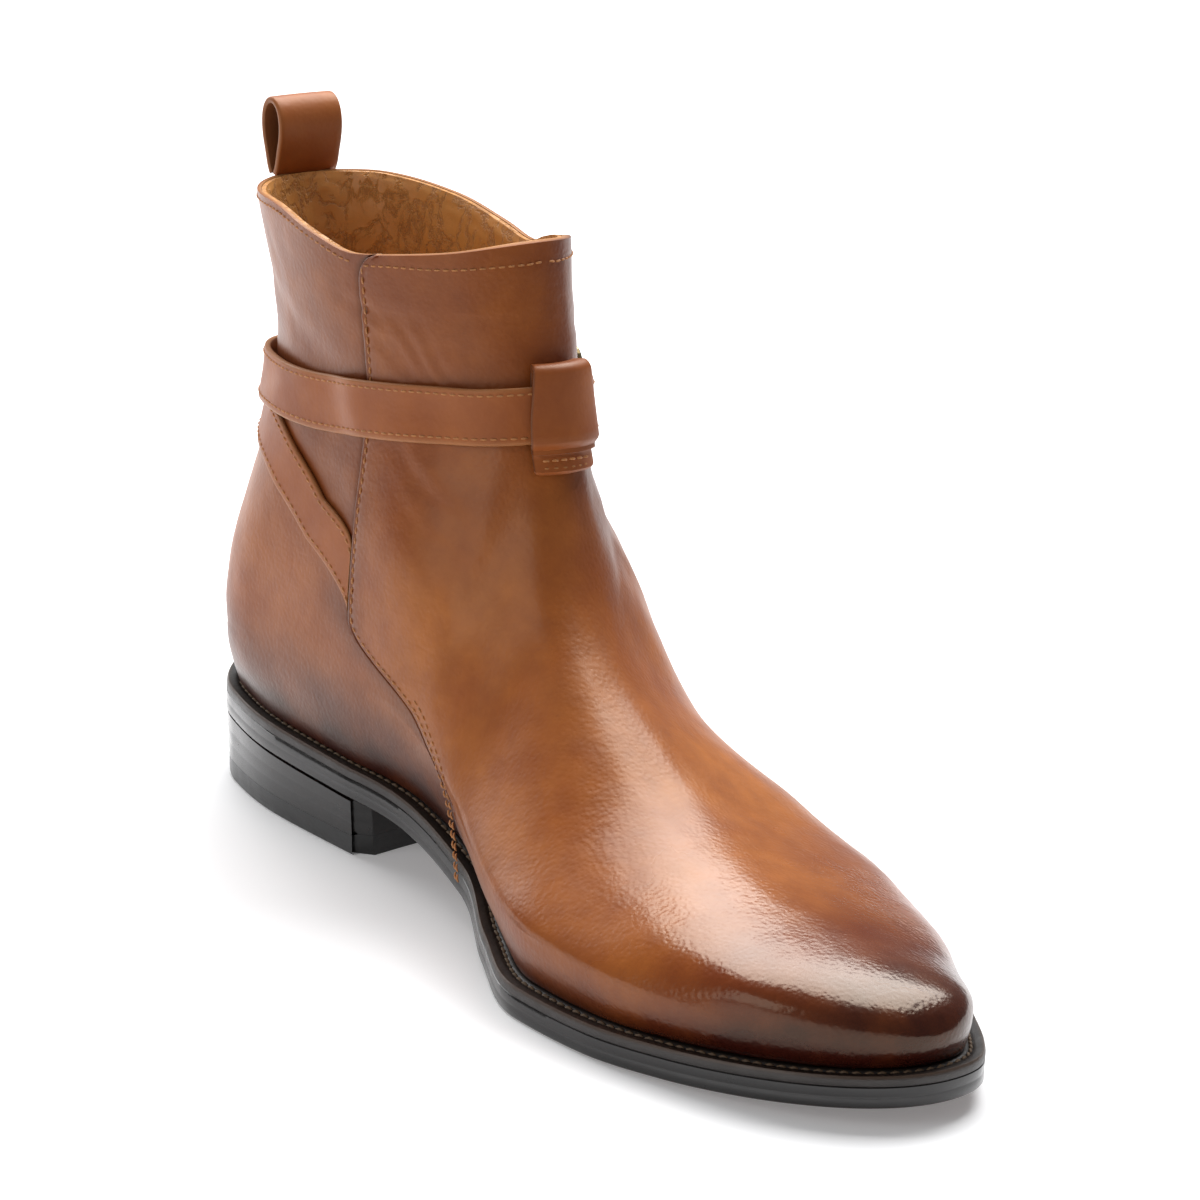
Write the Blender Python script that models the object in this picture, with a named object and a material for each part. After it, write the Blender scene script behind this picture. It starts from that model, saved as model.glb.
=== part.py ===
"""Jodhpur boot for the left foot. Metres, +X to the toe, +Y to the outer side, +Z up."""

import math
from collections import namedtuple

import bmesh
import bpy
from mathutils import Matrix, Vector

# Sole
SOLE_LENGTH = 0.300
BALL_WIDTH = 0.107
TOE_WIDTH = 0.074
WAIST_WIDTH = 0.072
HEEL_WIDTH = 0.071
SOLE_THICKNESS = 0.0056
WELT_THICKNESS = 0.0028
WELT_WIDTH = 0.0090
EDGE_ROUND = 0.0007
TOE_SPRING = 0.0055
TREAD_START = 0.640
SPRING_START = 0.710
INSOLE_RISE = 0.0016

# Heel
HEEL_LENGTH = 0.087
HEEL_HEIGHT = 0.0190
HEEL_SLOPE = 0.044
HEEL_TAPER = 0.0014
BREAST_SKEW = -0.10
BREAST_HOLLOW = 0.0020
LIFT_THICKNESS = 0.0055
CORNER_CUT = 0.0045

# Upper
WALL = 0.0023
FLAP_STEP = 0.0011
STEP_RUN = 0.0004
TOE_CLEAR = 0.0120
HEEL_INSET = 0.0032
TOE_INSET = 0.0062
TOE_RISE = 0.0202
VAMP_RISE = 0.0372
INSTEP_RISE = 0.0685
FLAP_RISE = 0.1470
COLLAR_RISE = 0.1320
SHAFT_WIDTH = 0.064
SIDE_LEVEL = 0.025
BACK_ROUND = 0.034
RIDGE_SHIFT = 0.0080

# Straps and loops
STRAP_WIDTH = 0.0145
STRAP_THICKNESS = 0.0016
UNDER_WIDTH = 0.0142
UNDER_THICKNESS = 0.0013
TIP_LENGTH = 0.0055
TIP_SHARE = 0.07
HOLE_LENGTH = 0.0085
HOLE_WIDTH = 0.0030
SLOT_LENGTH = 0.0080
SLOT_WIDTH = 0.0022
CUT_DEPTH = 0.0070
FOLD_RUN = 0.0062
KEEPER_WIDTH = 0.0136
KEEPER_THICKNESS = 0.0016
KEEPER_BOTTOM = 0.0840
KEEPER_TOP = 0.1110
KEEPER_LEG = 0.0009
KEEPER_PLAY = 0.0003
KEEPER_HEM = 0.0056
KEEPER_ROUND = 0.0024
KEEPER_EDGE = 0.0006
PULL_WIDTH = 0.0190
PULL_THICKNESS = 0.0017
PULL_HEIGHT = 0.0200
PULL_DEPTH = 0.0105
PULL_SETBACK = 0.0012
PULL_NECK = 0.00090
PULL_BELLY = 1.25
PULL_LEAN = 0.10
PULL_SAG = 0.10

# Buckle
FRAME_LENGTH = 0.0240
FRAME_HEIGHT = 0.0215
FRAME_BAR = 0.0022
FRAME_DEPTH = 0.0017
FRAME_CORNER = 0.0040
BAR_RADIUS = 0.0008
BAR_BEND = 0.0010
BAR_TURN = 0.0007
STRAP_DROP = 0.0010
FRAME_TILT = 0.16
PRONG_RADIUS = 0.00065

GAP = 0.0003
FOOT_GAP = 1.6 * GAP

SEAT = HEEL_HEIGHT + SOLE_THICKNESS + WELT_THICKNESS
HEEL_CENTRE = HEEL_LENGTH / 2.0

Edge = namedtuple("Edge", "station across medial lateral")
SOLE_OUTLINE = (
    Edge(0.000, HEEL_WIDTH, 0.000, 0.000),
    Edge(0.025, HEEL_WIDTH, 0.250, 0.260),
    Edge(0.083, HEEL_WIDTH, 0.400, 0.430),
    Edge(0.167, HEEL_WIDTH, 0.450, 0.490),
    Edge(0.267, WAIST_WIDTH, 0.420, 0.500),
    Edge(0.367, WAIST_WIDTH, 0.380, 0.550),
    Edge(0.467, WAIST_WIDTH, 0.420, 0.650),
    Edge(0.567, BALL_WIDTH, 0.400, 0.495),
    Edge(0.667, BALL_WIDTH, 0.495, 0.505),
    Edge(0.750, BALL_WIDTH, 0.480, 0.475),
    Edge(0.833, BALL_WIDTH, 0.420, 0.410),
    Edge(0.900, TOE_WIDTH, 0.490, 0.440),
    Edge(0.950, TOE_WIDTH, 0.355, 0.320),
    Edge(0.987, TOE_WIDTH, 0.185, 0.190),
    Edge(1.000, TOE_WIDTH, 0.000, 0.000),
)

# The last's widest line along the foot, and its level above the welt
Side = namedtuple("Side", "station across medial lateral level")
WIDEST = (
    Side(0.015, HEEL_WIDTH, 0.000, 0.000, 0.68),
    Side(0.040, HEEL_WIDTH, 0.245, 0.250, 0.68),
    Side(0.100, HEEL_WIDTH, 0.395, 0.410, 0.72),
    Side(0.183, HEEL_WIDTH, 0.437, 0.472, 0.80),
    Side(0.283, WAIST_WIDTH, 0.430, 0.500, 0.96),
    Side(0.383, WAIST_WIDTH, 0.430, 0.528, 1.00),
    Side(0.483, WAIST_WIDTH, 0.493, 0.595, 0.84),
    Side(0.583, BALL_WIDTH, 0.420, 0.462, 0.72),
    Side(0.667, BALL_WIDTH, 0.467, 0.462, 0.60),
    Side(0.750, BALL_WIDTH, 0.449, 0.415, 0.52),
    Side(0.833, BALL_WIDTH, 0.388, 0.342, 0.44),
    Side(0.900, TOE_WIDTH, 0.439, 0.352, 0.38),
    Side(0.947, TOE_WIDTH, 0.304, 0.255, 0.34),
    Side(0.975, TOE_WIDTH, 0.155, 0.142, 0.32),
    Side(0.985, TOE_WIDTH, 0.000, 0.000, 0.32),
)

# The front line in the side view, from the toe up to the flap's top
Ridge = namedtuple("Ridge", "station of rise")
FRONT_LINE = (
    Ridge(0.985, SIDE_LEVEL, 0.32),
    Ridge(0.976, TOE_RISE, 0.58),
    Ridge(0.953, TOE_RISE, 0.79),
    Ridge(0.907, TOE_RISE, 1.00),
    Ridge(0.833, VAMP_RISE, 0.67),
    Ridge(0.750, VAMP_RISE, 0.81),
    Ridge(0.667, VAMP_RISE, 1.00),
    Ridge(0.593, INSTEP_RISE, 0.71),
    Ridge(0.533, INSTEP_RISE, 0.85),
    Ridge(0.490, INSTEP_RISE, 1.00),
    Ridge(0.454, FLAP_RISE, 0.59),
    Ridge(0.427, FLAP_RISE, 0.70),
    Ridge(0.414, FLAP_RISE, 0.81),
    Ridge(0.400, FLAP_RISE, 0.91),
    Ridge(0.390, FLAP_RISE, 1.00),
)

# The back line in the side view, from the heel's widest level up to the collar
Back = namedtuple("Back", "station rise")
BACK_LINE = (
    Back(0.0150, SIDE_LEVEL * 0.68 / COLLAR_RISE),
    Back(0.0115, 0.19),
    Back(0.0145, 0.28),
    Back(0.0245, 0.41),
    Back(0.0345, 0.54),
    Back(0.0395, 0.67),
    Back(0.0330, 0.83),
    Back(0.0140, 1.00),
)

# Half widths of heel and shaft by height
Girth = namedtuple("Girth", "rise medial lateral")
SHAFT_GIRTHS = (
    Girth(0.00, 0.475, 0.484),
    Girth(0.14, 0.505, 0.520),
    Girth(0.26, 0.495, 0.505),
    Girth(0.41, 0.465, 0.445),
    Girth(0.56, 0.440, 0.395),
    Girth(0.71, 0.430, 0.385),
    Girth(0.87, 0.470, 0.395),
    Girth(1.01, 0.515, 0.420),
)

# How square the sides are, and how full the crown is, by station
Form = namedtuple("Form", "station side crown")
FORMS = (
    Form(0.000, 3.00, 0.50),
    Form(0.317, 1.90, 0.15),
    Form(0.400, 1.45, -0.45),
    Form(0.500, 1.35, -0.85),
    Form(0.667, 1.40, -0.50),
    Form(0.833, 1.65, -0.10),
    Form(1.000, 2.20, 0.40),
)

# The rear edge of vamp and flap, by height above the heel seat
Seam = namedtuple("Seam", "rise medial lateral")
SEAM_LINE = (
    Seam(-0.16, 0.505, 0.515),
    Seam(0.02, 0.470, 0.490),
    Seam(0.15, 0.397, 0.420),
    Seam(0.28, 0.287, 0.306),
    Seam(0.44, 0.281, 0.300),
    Seam(0.77, 0.275, 0.298),
    Seam(1.00, 0.268, 0.292),
)

# Strap routes: turn round the shaft (0 back, 1 front, minus on the inner side)
Way = namedtuple("Way", "turn rise")
LONG_ROUTE = (
    Way(0.520, 0.355),
    Way(0.450, 0.435),
    Way(0.381, 0.500),
    Way(0.300, 0.545),
    Way(0.150, 0.588),
    Way(0.000, 0.618),
    Way(-0.250, 0.645),
    Way(-0.436, 0.664),
    Way(-0.583, 0.697),
    Way(-0.780, 0.732),
    Way(-1.000, 0.750),
    Way(-1.200, 0.732),
    Way(-1.330, 0.708),
)
UNDER_ROUTE = (
    Way(-0.510, 0.355),
    Way(-0.450, 0.435),
    Way(-0.381, 0.500),
    Way(-0.300, 0.545),
    Way(-0.150, 0.572),
    Way(0.000, 0.585),
    Way(0.250, 0.612),
    Way(0.436, 0.655),
)
ROUTE_STEP = 0.05
ROOT_RUN = 1.2
BUCKLE_TURN = 0.568
BUCKLE_RISE = 0.695

# How far the top edge lies above the line from its back to its front
Rim = namedtuple("Rim", "along medial lateral")
RIM_LINE = (
    Rim(0.00, 0.000, 0.000),
    Rim(0.12, 0.008, 0.010),
    Rim(0.33, 0.024, 0.002),
    Rim(0.52, 0.000, -0.020),
    Rim(0.65, -0.021, -0.035),
    Rim(0.77, -0.012, -0.010),
    Rim(0.90, -0.008, 0.000),
    Rim(1.00, 0.000, 0.000),
)

# How finely curves and meshes are stepped
TURN_STEP = 0.01
RISE_STEP = 0.002
SIDE_REAR, SIDE_FRONT = 9, 13
LOW_RINGS, HIGH_RINGS = 4, 20
RING_EASE = 0.35
BREAST_STEPS = 6
LONG_STEPS, UNDER_STEPS, END_STEPS = 54, 40, 30
SLOPE_STEP = 0.0005
FOLD_STEPS = 10
BAR_SIDES = 10
CORNER_STEPS = 6
PRONG_STEPS = 9
KEEPER_COLUMNS = 9
LOOP_STEPS, LOOP_COLUMNS = 26, 5


def ramp(value, start, end):
    share = min(max((value - start) / (end - start), 0.0), 1.0)
    return share * share * (3.0 - 2.0 * share)


def through(knots, values, at):
    """A smooth curve through the values that doesn't overshoot them."""
    last = len(knots) - 1
    if at <= knots[0]:
        return values[0]
    if at >= knots[last]:
        return values[last]
    slopes = [(values[i + 1] - values[i]) / (knots[i + 1] - knots[i]) for i in range(last)]

    def tangent(i):
        if i in (0, last):
            return slopes[min(i, last - 1)]
        before, after = slopes[i - 1], slopes[i]
        return 0.0 if before * after <= 0.0 else 2.0 * before * after / (before + after)

    i = max(k for k in range(last) if knots[k] <= at)
    span = knots[i + 1] - knots[i]
    t = (at - knots[i]) / span
    start, end = tangent(i) * span, tangent(i + 1) * span
    rise = 3.0 * t**2 - 2.0 * t**3
    return (
        values[i] * (1.0 - rise)
        + values[i + 1] * rise
        + start * (t**3 - 2.0 * t**2 + t)
        + end * (t**3 - t**2)
    )


def column(rows, name):
    return [getattr(row, name) for row in rows]


def half_turn(share):
    """Stations spread so that an outline is round at both ends."""
    return math.acos(1.0 - 2.0 * min(max(share, 0.0), 1.0)) / math.pi


def half_width(rows, station, side):
    first, last = rows[0].station, rows[-1].station
    knots = [half_turn((row.station - first) / (last - first)) for row in rows]
    halves = [row.across * (row.lateral if side > 0 else row.medial) for row in rows]
    return through(knots, halves, half_turn((station - first) / (last - first)))


def sole_bottom(x):
    seat = HEEL_HEIGHT - HEEL_SLOPE * min(max(x, 0.0), HEEL_LENGTH)
    fall = 1.0 - ramp(x, HEEL_LENGTH, TREAD_START * SOLE_LENGTH)
    start = SPRING_START * SOLE_LENGTH
    toe = max(x - start, 0.0) / (SOLE_LENGTH - start)
    return seat * fall + TOE_SPRING * toe**1.7


def sole_top(x):
    return sole_bottom(x) + SOLE_THICKNESS + WELT_THICKNESS


def outline_point(share, side, inset):
    """A point of the sole's outline, moved inwards; share runs from heel to toe."""
    step = 0.004
    points = []
    for at in (share - step, share, share + step):
        way = side
        if at < 0.0 or at > 1.0:
            way = -side
            at = -at if at < 0.0 else 2.0 - at
        station = 0.5 - 0.5 * math.cos(math.pi * at)
        points.append(Vector((station * SOLE_LENGTH, way * half_width(SOLE_OUTLINE, station, way), 0.0)))
    along = (points[2] - points[0]).normalized()
    inward = Vector((side * along.y, -side * along.x, 0.0))
    point = points[1] + inward * inset
    if share <= 0.0 or share >= 1.0:
        point.y = 0.0
    return point


def level_at(x):
    level = through(column(WIDEST, "station"), column(WIDEST, "level"), x / SOLE_LENGTH)
    return sole_top(x) + SIDE_LEVEL * level


def front_points():
    return [
        (row.station * SOLE_LENGTH, sole_top(row.station * SOLE_LENGTH) + row.of * row.rise)
        for row in FRONT_LINE
    ]


def back_points():
    return [(row.station * SOLE_LENGTH, SEAT + COLLAR_RISE * row.rise) for row in BACK_LINE]


FRONT = front_points()
BACK = back_points()
FRONT_XS = [point[0] for point in FRONT]
FRONT_ZS = [point[1] for point in FRONT]
BACK_XS = [point[0] for point in BACK]
BACK_ZS = [point[1] for point in BACK]


def front_z(x):
    if x < FRONT_XS[-1]:
        return FRONT_ZS[-1] + (FRONT_XS[-1] - x) * 6.0
    return through(FRONT_XS[::-1], FRONT_ZS[::-1], x)


def front_x(z):
    return through(FRONT_ZS, FRONT_XS, z)


def back_x(z):
    return through(BACK_ZS, BACK_XS, z)


def along_line(points, share):
    """The point at a share of the way along a line, by its length."""
    marks = [0.0]
    for start, end in zip(points, points[1:]):
        marks.append(marks[-1] + math.dist(start, end))
    at = share * marks[-1]
    return (
        through(marks, [point[0] for point in points], at),
        through(marks, [point[1] for point in points], at),
    )


def upper_half(x, z, side):
    """Half width of the upper, to the inner or outer side, at a point of its side view."""
    level = level_at(x)
    crest = max(front_z(x), level + 1e-6)
    t = min(max((z - level) / (crest - level), 0.0), 1.0)
    station = x / SOLE_LENGTH
    power = through(column(FORMS, "station"), column(FORMS, "side"), station)
    crown = through(column(FORMS, "station"), column(FORMS, "crown"), station)
    foot = math.sqrt(max(1.0 - t**power, 0.0)) * (1.0 + t**power) ** crown
    height = (z - SEAT) / COLLAR_RISE
    shaft_share = max(ramp(height, 0.25, 0.64), 1.0 - ramp(station, 0.20, 0.43))
    girths = column(SHAFT_GIRTHS, "lateral" if side > 0 else "medial")
    girth = SHAFT_WIDTH * through(column(SHAFT_GIRTHS, "rise"), girths, height)
    width = half_width(WIDEST, station, side) * (1.0 - shaft_share) + girth * shaft_share
    front, back = front_x(z), back_x(z)
    radius = max(0.5 * (front - back), 1e-6)
    near_front = min(max((front - x) / radius, 0.0), 1.0)
    shaft = math.sqrt(max(1.0 - (1.0 - near_front) ** 1.7, 0.0))
    high = ramp(height, 0.40, 0.83)
    closing = foot * (1.0 - high) + shaft * high
    round_off = BACK_ROUND + (min(radius, 0.060) - BACK_ROUND) * ramp(height, 0.25, 0.80)
    near_back = min(max((x - back) / round_off, 0.0), 1.0)
    return width * closing * math.sqrt(max(1.0 - (1.0 - near_back) ** 2.15, 0.0))


def ridge_y(x, z):
    """The crest of the instep lies a little to the inner side."""
    station = x / SOLE_LENGTH
    level = level_at(x)
    t = min(max((z - level) / max(front_z(x) - level, 1e-6), 0.0), 1.0)
    along = ramp(station, 0.42, 0.55) * (1.0 - ramp(station, 0.88, 0.985))
    return -RIDGE_SHIFT * along * ramp(t, 0.0, 1.0)


def seam_x(z, side):
    name = "lateral" if side > 0 else "medial"
    rise = (z - SEAT) / COLLAR_RISE
    return SOLE_LENGTH * through(column(SEAM_LINE, "rise"), column(SEAM_LINE, name), rise)


def ring_side(share, side):
    """One half ring of the upper above its widest line, from the back to the front."""
    back = along_line(BACK, share)
    front = along_line(FRONT, share**1.4)
    top = ramp(share, 0.70, 1.0)
    lift = ramp(share, 0.0, 0.35)
    marks = column(RIM_LINE, "along")
    crests = column(RIM_LINE, "lateral" if side > 0 else "medial")

    def height(x):
        s = (x - back[0]) / (front[0] - back[0])
        eased = s + RING_EASE * (1.0 - top) * s * (1.0 - s)
        straight = back[1] + (front[1] - back[1]) * eased ** (1.0 + 3.0 * top)
        straight += COLLAR_RISE * top * through(marks, crests, s)
        low = (
            level_at(x)
            + (back[1] - level_at(back[0])) * (1.0 - eased)
            + (front[1] - level_at(front[0])) * eased
        )
        return min(straight * lift + low * (1.0 - lift), front_z(x))

    seam = seam_x(back[1], side)
    for _ in range(12):
        seam = 0.5 * (seam + min(seam_x(height(seam), side), front[0] - TOE_CLEAR))
    return [
        (Vector((x, side * upper_half(x, height(x), side) + ridge_y(x, height(x)), height(x))), raised)
        for x, raised in spread(back[0], seam, front[0])
    ]


def spread(start, seam, end):
    """Stations from back to front, closer at both ends, with the step at the seam."""
    rear_length = seam - STEP_RUN - start
    fore_length = end - seam - STEP_RUN
    found = []
    for i in range(SIDE_REAR + 1):
        share = 1.0 - math.cos(0.5 * math.pi * i / SIDE_REAR)
        found.append((start + rear_length * share, 0.0))
    for i in range(SIDE_FRONT + 1):
        share = 1.0 - math.sin(0.5 * math.pi * i / SIDE_FRONT)
        found.append((end - fore_length * share, 1.0))
    return found


def low_side(share, side):
    """One half ring between the welt and the widest line."""
    first = WIDEST[0].station * SOLE_LENGTH
    last = WIDEST[-1].station * SOLE_LENGTH
    seam = seam_x(SEAT - WELT_THICKNESS, side)
    bulge = math.sin(0.5 * math.pi * share)
    found = []
    for x, raised in spread(first, seam, last):
        across = half_turn((x - first) / (last - first))
        inset = HEEL_INSET + (TOE_INSET - HEEL_INSET) * ramp(across, 0.35, 0.55)
        foot = outline_point(across, side, inset)
        wide = Vector((x, side * upper_half(x, level_at(x), side), 0.0))
        point = foot.lerp(wide, bulge)
        bottom = sole_top(point.x) + FOOT_GAP
        point.z = bottom + (level_at(point.x) - bottom) * share
        found.append((point, raised))
    return found


def upper_rings():
    """Rings of the upper's outer face, from the welt to the collar, and where it is raised."""
    rings = []
    for j in range(LOW_RINGS):
        halves = [low_side(j / LOW_RINGS, side) for side in (1, -1)]
        rings.append(halves[0] + halves[1][-2:0:-1])
    for j in range(HIGH_RINGS + 1):
        halves = [ring_side(j / HIGH_RINGS, side) for side in (1, -1)]
        rings.append(halves[0] + halves[1][-2:0:-1])
    return rings


def grid_normals(rows):
    """Outward normals of a closed ring grid."""
    count = len(rows[0])
    found = []
    for j, row in enumerate(rows):
        above, below = rows[min(j + 1, len(rows) - 1)], rows[max(j - 1, 0)]
        found.append([
            (above[i] - below[i]).cross(row[(i + 1) % count] - row[i - 1]).normalized()
            for i in range(count)
        ])
    return found


def make_object(name, mesh, parts, colour, roughness, metallic=0.0):
    material = bpy.data.materials.new(name)
    material.use_nodes = True
    shader = material.node_tree.nodes["Principled BSDF"]
    shader.inputs["Base Color"].default_value = (*colour, 1.0)
    shader.inputs["Roughness"].default_value = roughness
    shader.inputs["Metallic"].default_value = metallic
    mesh.materials.append(material)
    mesh.shade_smooth()
    mesh.set_sharp_from_angle(angle=math.radians(38))
    made = bpy.data.objects.new(name, mesh)
    parts.objects.link(made)
    return made


def mesh_from(name, points, faces):
    shape = bmesh.new()
    corners = [shape.verts.new(point) for point in points]
    for face in faces:
        shape.faces.new([corners[i] for i in face])
    bmesh.ops.recalc_face_normals(shape, faces=shape.faces)
    mesh = bpy.data.meshes.new(name)
    shape.to_mesh(mesh)
    shape.free()
    return mesh


def stacked(name, rings, capped):
    """A loft through closed rings. Caps run across each ring, or the last ring meets the first."""
    count = len(rings[0])
    points = [point for ring in rings for point in ring]
    faces = []
    levels = len(rings)
    for j in range(levels if not capped else levels - 1):
        for i in range(count):
            n = (i + 1) % count
            a, b = j * count, ((j + 1) % levels) * count
            faces.append((a + i, a + n, b + n, b + i))
    if capped:
        for base in (0, (levels - 1) * count):
            pairs = (count - 2) // 2
            faces.append((base, base + 1, base + count - 1))
            for i in range(1, pairs):
                faces.append((base + i, base + i + 1, base + count - i - 1, base + count - i))
            faces.append((base + pairs, base + pairs + 1, base + pairs + 2))
    return mesh_from(name, points, faces)


def ribbon(name, sections):
    """A loft through sections of four corners or more, closed at both ends."""
    count = len(sections[0])
    points = [point for section in sections for point in section]
    faces = [tuple(range(count)), tuple(range(len(points) - 1, len(points) - count - 1, -1))]
    for j in range(len(sections) - 1):
        for i in range(count):
            n = (i + 1) % count
            faces.append((j * count + i, j * count + n, (j + 1) * count + n, (j + 1) * count + i))
    return mesh_from(name, points, faces)


def sole_ring(inset, height, count=40):
    """A ring of the sole's outline; height is a function of the station's x."""
    lateral = [outline_point(i / count, 1, inset) for i in range(count + 1)]
    medial = [outline_point(i / count, -1, inset) for i in range(1, count)]
    ring = lateral + medial[::-1]
    for point in ring:
        point.z = height(point.x)
    return ring


def build_upper(parts):
    rings = upper_rings()
    plain = [[point for point, _ in ring] for ring in rings]
    normals = grid_normals(plain)
    outer, inner = [], []
    for ring, row in zip(rings, normals):
        outer.append([point + normal * FLAP_STEP * raised for (point, raised), normal in zip(ring, row)])
        inner.append([point - normal * WALL for (point, _), normal in zip(ring, row)])
    for edge, lining in ((outer[0], inner[0]), (outer[-1], inner[-1])):
        for over, under in zip(edge, lining):
            under.z = over.z = max(over.z, sole_top(over.x) + FOOT_GAP)
    make_object("upper", stacked("upper", outer + inner[::-1], False), parts, (0.36, 0.13, 0.045), 0.35)


def build_sole(parts):
    def welt_z(drop):
        return lambda x: sole_top(x) - drop

    def sole_z(lift):
        return lambda x: sole_bottom(x) + lift

    top, bottom = welt_z(0.0), welt_z(WELT_THICKNESS - GAP)
    rings = [
        sole_ring(EDGE_ROUND, bottom),
        sole_ring(0.0, welt_z(WELT_THICKNESS - GAP - EDGE_ROUND)),
        sole_ring(0.0, welt_z(EDGE_ROUND)),
        sole_ring(EDGE_ROUND, top),
        sole_ring(WELT_WIDTH, top),
        sole_ring(WELT_WIDTH, bottom),
    ]
    make_object("welt", stacked("welt", rings, False), parts, (0.030, 0.018, 0.014), 0.55)
    rings = [
        sole_ring(2.0 * EDGE_ROUND, sole_z(0.0)),
        sole_ring(0.0, sole_z(EDGE_ROUND)),
        sole_ring(0.0, sole_z(SOLE_THICKNESS - EDGE_ROUND)),
        sole_ring(EDGE_ROUND, sole_z(SOLE_THICKNESS)),
    ]
    make_object("outsole", stacked("outsole", rings, True), parts, (0.045, 0.024, 0.018), 0.30)
    inset = WELT_WIDTH + GAP
    rings = [
        sole_ring(inset, sole_z(SOLE_THICKNESS + GAP)),
        sole_ring(inset, welt_z(0.0)),
        sole_ring(inset + EDGE_ROUND, welt_z(-INSOLE_RISE)),
    ]
    make_object("insole", stacked("insole", rings, True), parts, (0.56, 0.33, 0.14), 0.6)


def heel_ring(inset, height, count=16):
    """A ring of the heel: round at the back, hollow and slightly askew at the breast."""
    sides = []
    for side in (1, -1):
        line = []
        end = half_turn(HEEL_LENGTH / SOLE_LENGTH)
        for i in range(count + 1):
            point = outline_point(end * i / count, side, inset)
            stretch = 1.0 + BREAST_SKEW * point.y / HEEL_LENGTH
            line.append(Vector((point.x * stretch, point.y, 0.0)))
        sides.append(line)
    lateral, medial = sides
    corner = medial[-1]
    medial[-1] = corner + Vector((-CORNER_CUT, 0.0, 0.0))
    inner_end = corner + Vector((0.0, CORNER_CUT, 0.0))
    breast = []
    for i in range(1, BREAST_STEPS):
        t = i / BREAST_STEPS
        point = lateral[-1].lerp(inner_end, t)
        point.x -= BREAST_HOLLOW * math.sin(math.pi * t)
        breast.append(point)
    ring = lateral + breast + [inner_end] + medial[:0:-1]
    for point in ring:
        point.z = height(point.x)
    return ring, count, len(breast) + 1


def heel_layer(name, levels, parts, colour, roughness):
    """One layer of the heel, lofted through rings given as (inset, height function)."""
    built = [heel_ring(inset, height) for inset, height in levels]
    rings = [ring for ring, _, _ in built]
    count, front = built[0][1], built[0][2]
    size = len(rings[0])
    points = [point for ring in rings for point in ring]
    faces = []
    for j in range(len(rings) - 1):
        for i in range(size):
            n = (i + 1) % size
            faces.append((j * size + i, j * size + n, (j + 1) * size + n, (j + 1) * size + i))
    for base in (0, (len(rings) - 1) * size):
        faces.append((base, base + 1, base + size - 1))
        for i in range(1, count):
            faces.append((base + i, base + i + 1, base + size - i - 1, base + size - i))
        faces.append(tuple(base + count + i for i in range(front + 2)))
    make_object(name, mesh_from(name, points, faces), parts, colour, roughness)


def build_heel(parts):
    def flat(z):
        return lambda x: z

    def under_sole(x):
        return sole_bottom(x) - GAP

    split = HEEL_TAPER * (1.0 - LIFT_THICKNESS / HEEL_HEIGHT)
    heel_layer(
        "heel_stack",
        [(split, flat(LIFT_THICKNESS + GAP)), (GAP, under_sole)],
        parts, (0.040, 0.024, 0.018), 0.25,
    )
    heel_layer(
        "top_lift",
        [
            (HEEL_TAPER + EDGE_ROUND, flat(0.0)),
            (HEEL_TAPER, flat(EDGE_ROUND)),
            (split, flat(LIFT_THICKNESS)),
        ],
        parts, (0.012, 0.012, 0.012), 0.5,
    )


def shaft_point(turn, z):
    """A point of the shaft by its turn: 0 at the back, 1 at the front, minus on the inner side."""
    turn = (turn + 1.0) % 2.0 - 1.0
    side = 1 if turn >= 0.0 else -1
    back, front = back_x(z), front_x(z)
    x = back + (front - back) * (0.5 - 0.5 * math.cos(math.pi * abs(turn)))
    return Vector((x, side * upper_half(x, z, side) + ridge_y(x, z), z))


def shaft_frame(turn, z):
    """Point, outward normal and the level direction of rising turn."""
    point = shaft_point(turn, z)
    along = shaft_point(turn + TURN_STEP, z) - shaft_point(turn - TURN_STEP, z)
    up = shaft_point(turn, z + RISE_STEP) - shaft_point(turn, z - RISE_STEP)
    normal = up.cross(along).normalized()
    if normal.dot(point - Vector((0.5 * (back_x(z) + front_x(z)), 0.0, z))) < 0.0:
        normal = -normal
    return point, normal, along.normalized()


def route_at(route, at):
    """Turn and height of a route at a place counted along its rows."""
    spots = list(range(len(route)))
    turn = through(spots, column(route, "turn"), at)
    return turn, SEAT + COLLAR_RISE * through(spots, column(route, "rise"), at)


def root_turn(z, side):
    """The turn at which the root of a strap meets the step of the flap."""
    back, front = back_x(z), front_x(z)
    share = (seam_x(z, side) - STEP_RUN - 2.0 * GAP - back) / (front - back)
    return side * math.acos(1.0 - 2.0 * share) / math.pi


def route_sections(route, width, thickness, lift, count):
    """Sections of a strap on the shaft; lift gives its clearance by turn."""
    last = len(route) - 1
    side = 1 if route[0].turn > 0.0 else -1
    sections = []
    for i in range(count + 1):
        at = last * i / count
        turn, z = route_at(route, at)
        turn += (root_turn(z, side) - turn) * max(1.0 - at, 0.0)
        ahead = shaft_point(*route_at(route, min(at + ROUTE_STEP, last)))
        behind = shaft_point(*route_at(route, max(at - ROUTE_STEP, 0.0)))
        _, normal, _ = shaft_frame(turn, z)
        across = normal.cross(ahead - behind).normalized()
        if across.z < 0.0:
            across = -across
        upright = Vector((0.0, 0.0, 1.0 / across.z))
        root = 1.0 - ramp(at, 0.0, ROOT_RUN)
        spots = []
        for way in (-0.5, 0.0, 0.5):
            shift = across.lerp(upright, root) * width * way
            swing = root * (root_turn(z + shift.z, side) - root_turn(z, side))
            spots.append((turn + swing, z + shift.z, shift))
        sections.append(strap_section(spots, thickness, lift(turn)))
    return sections


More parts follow.
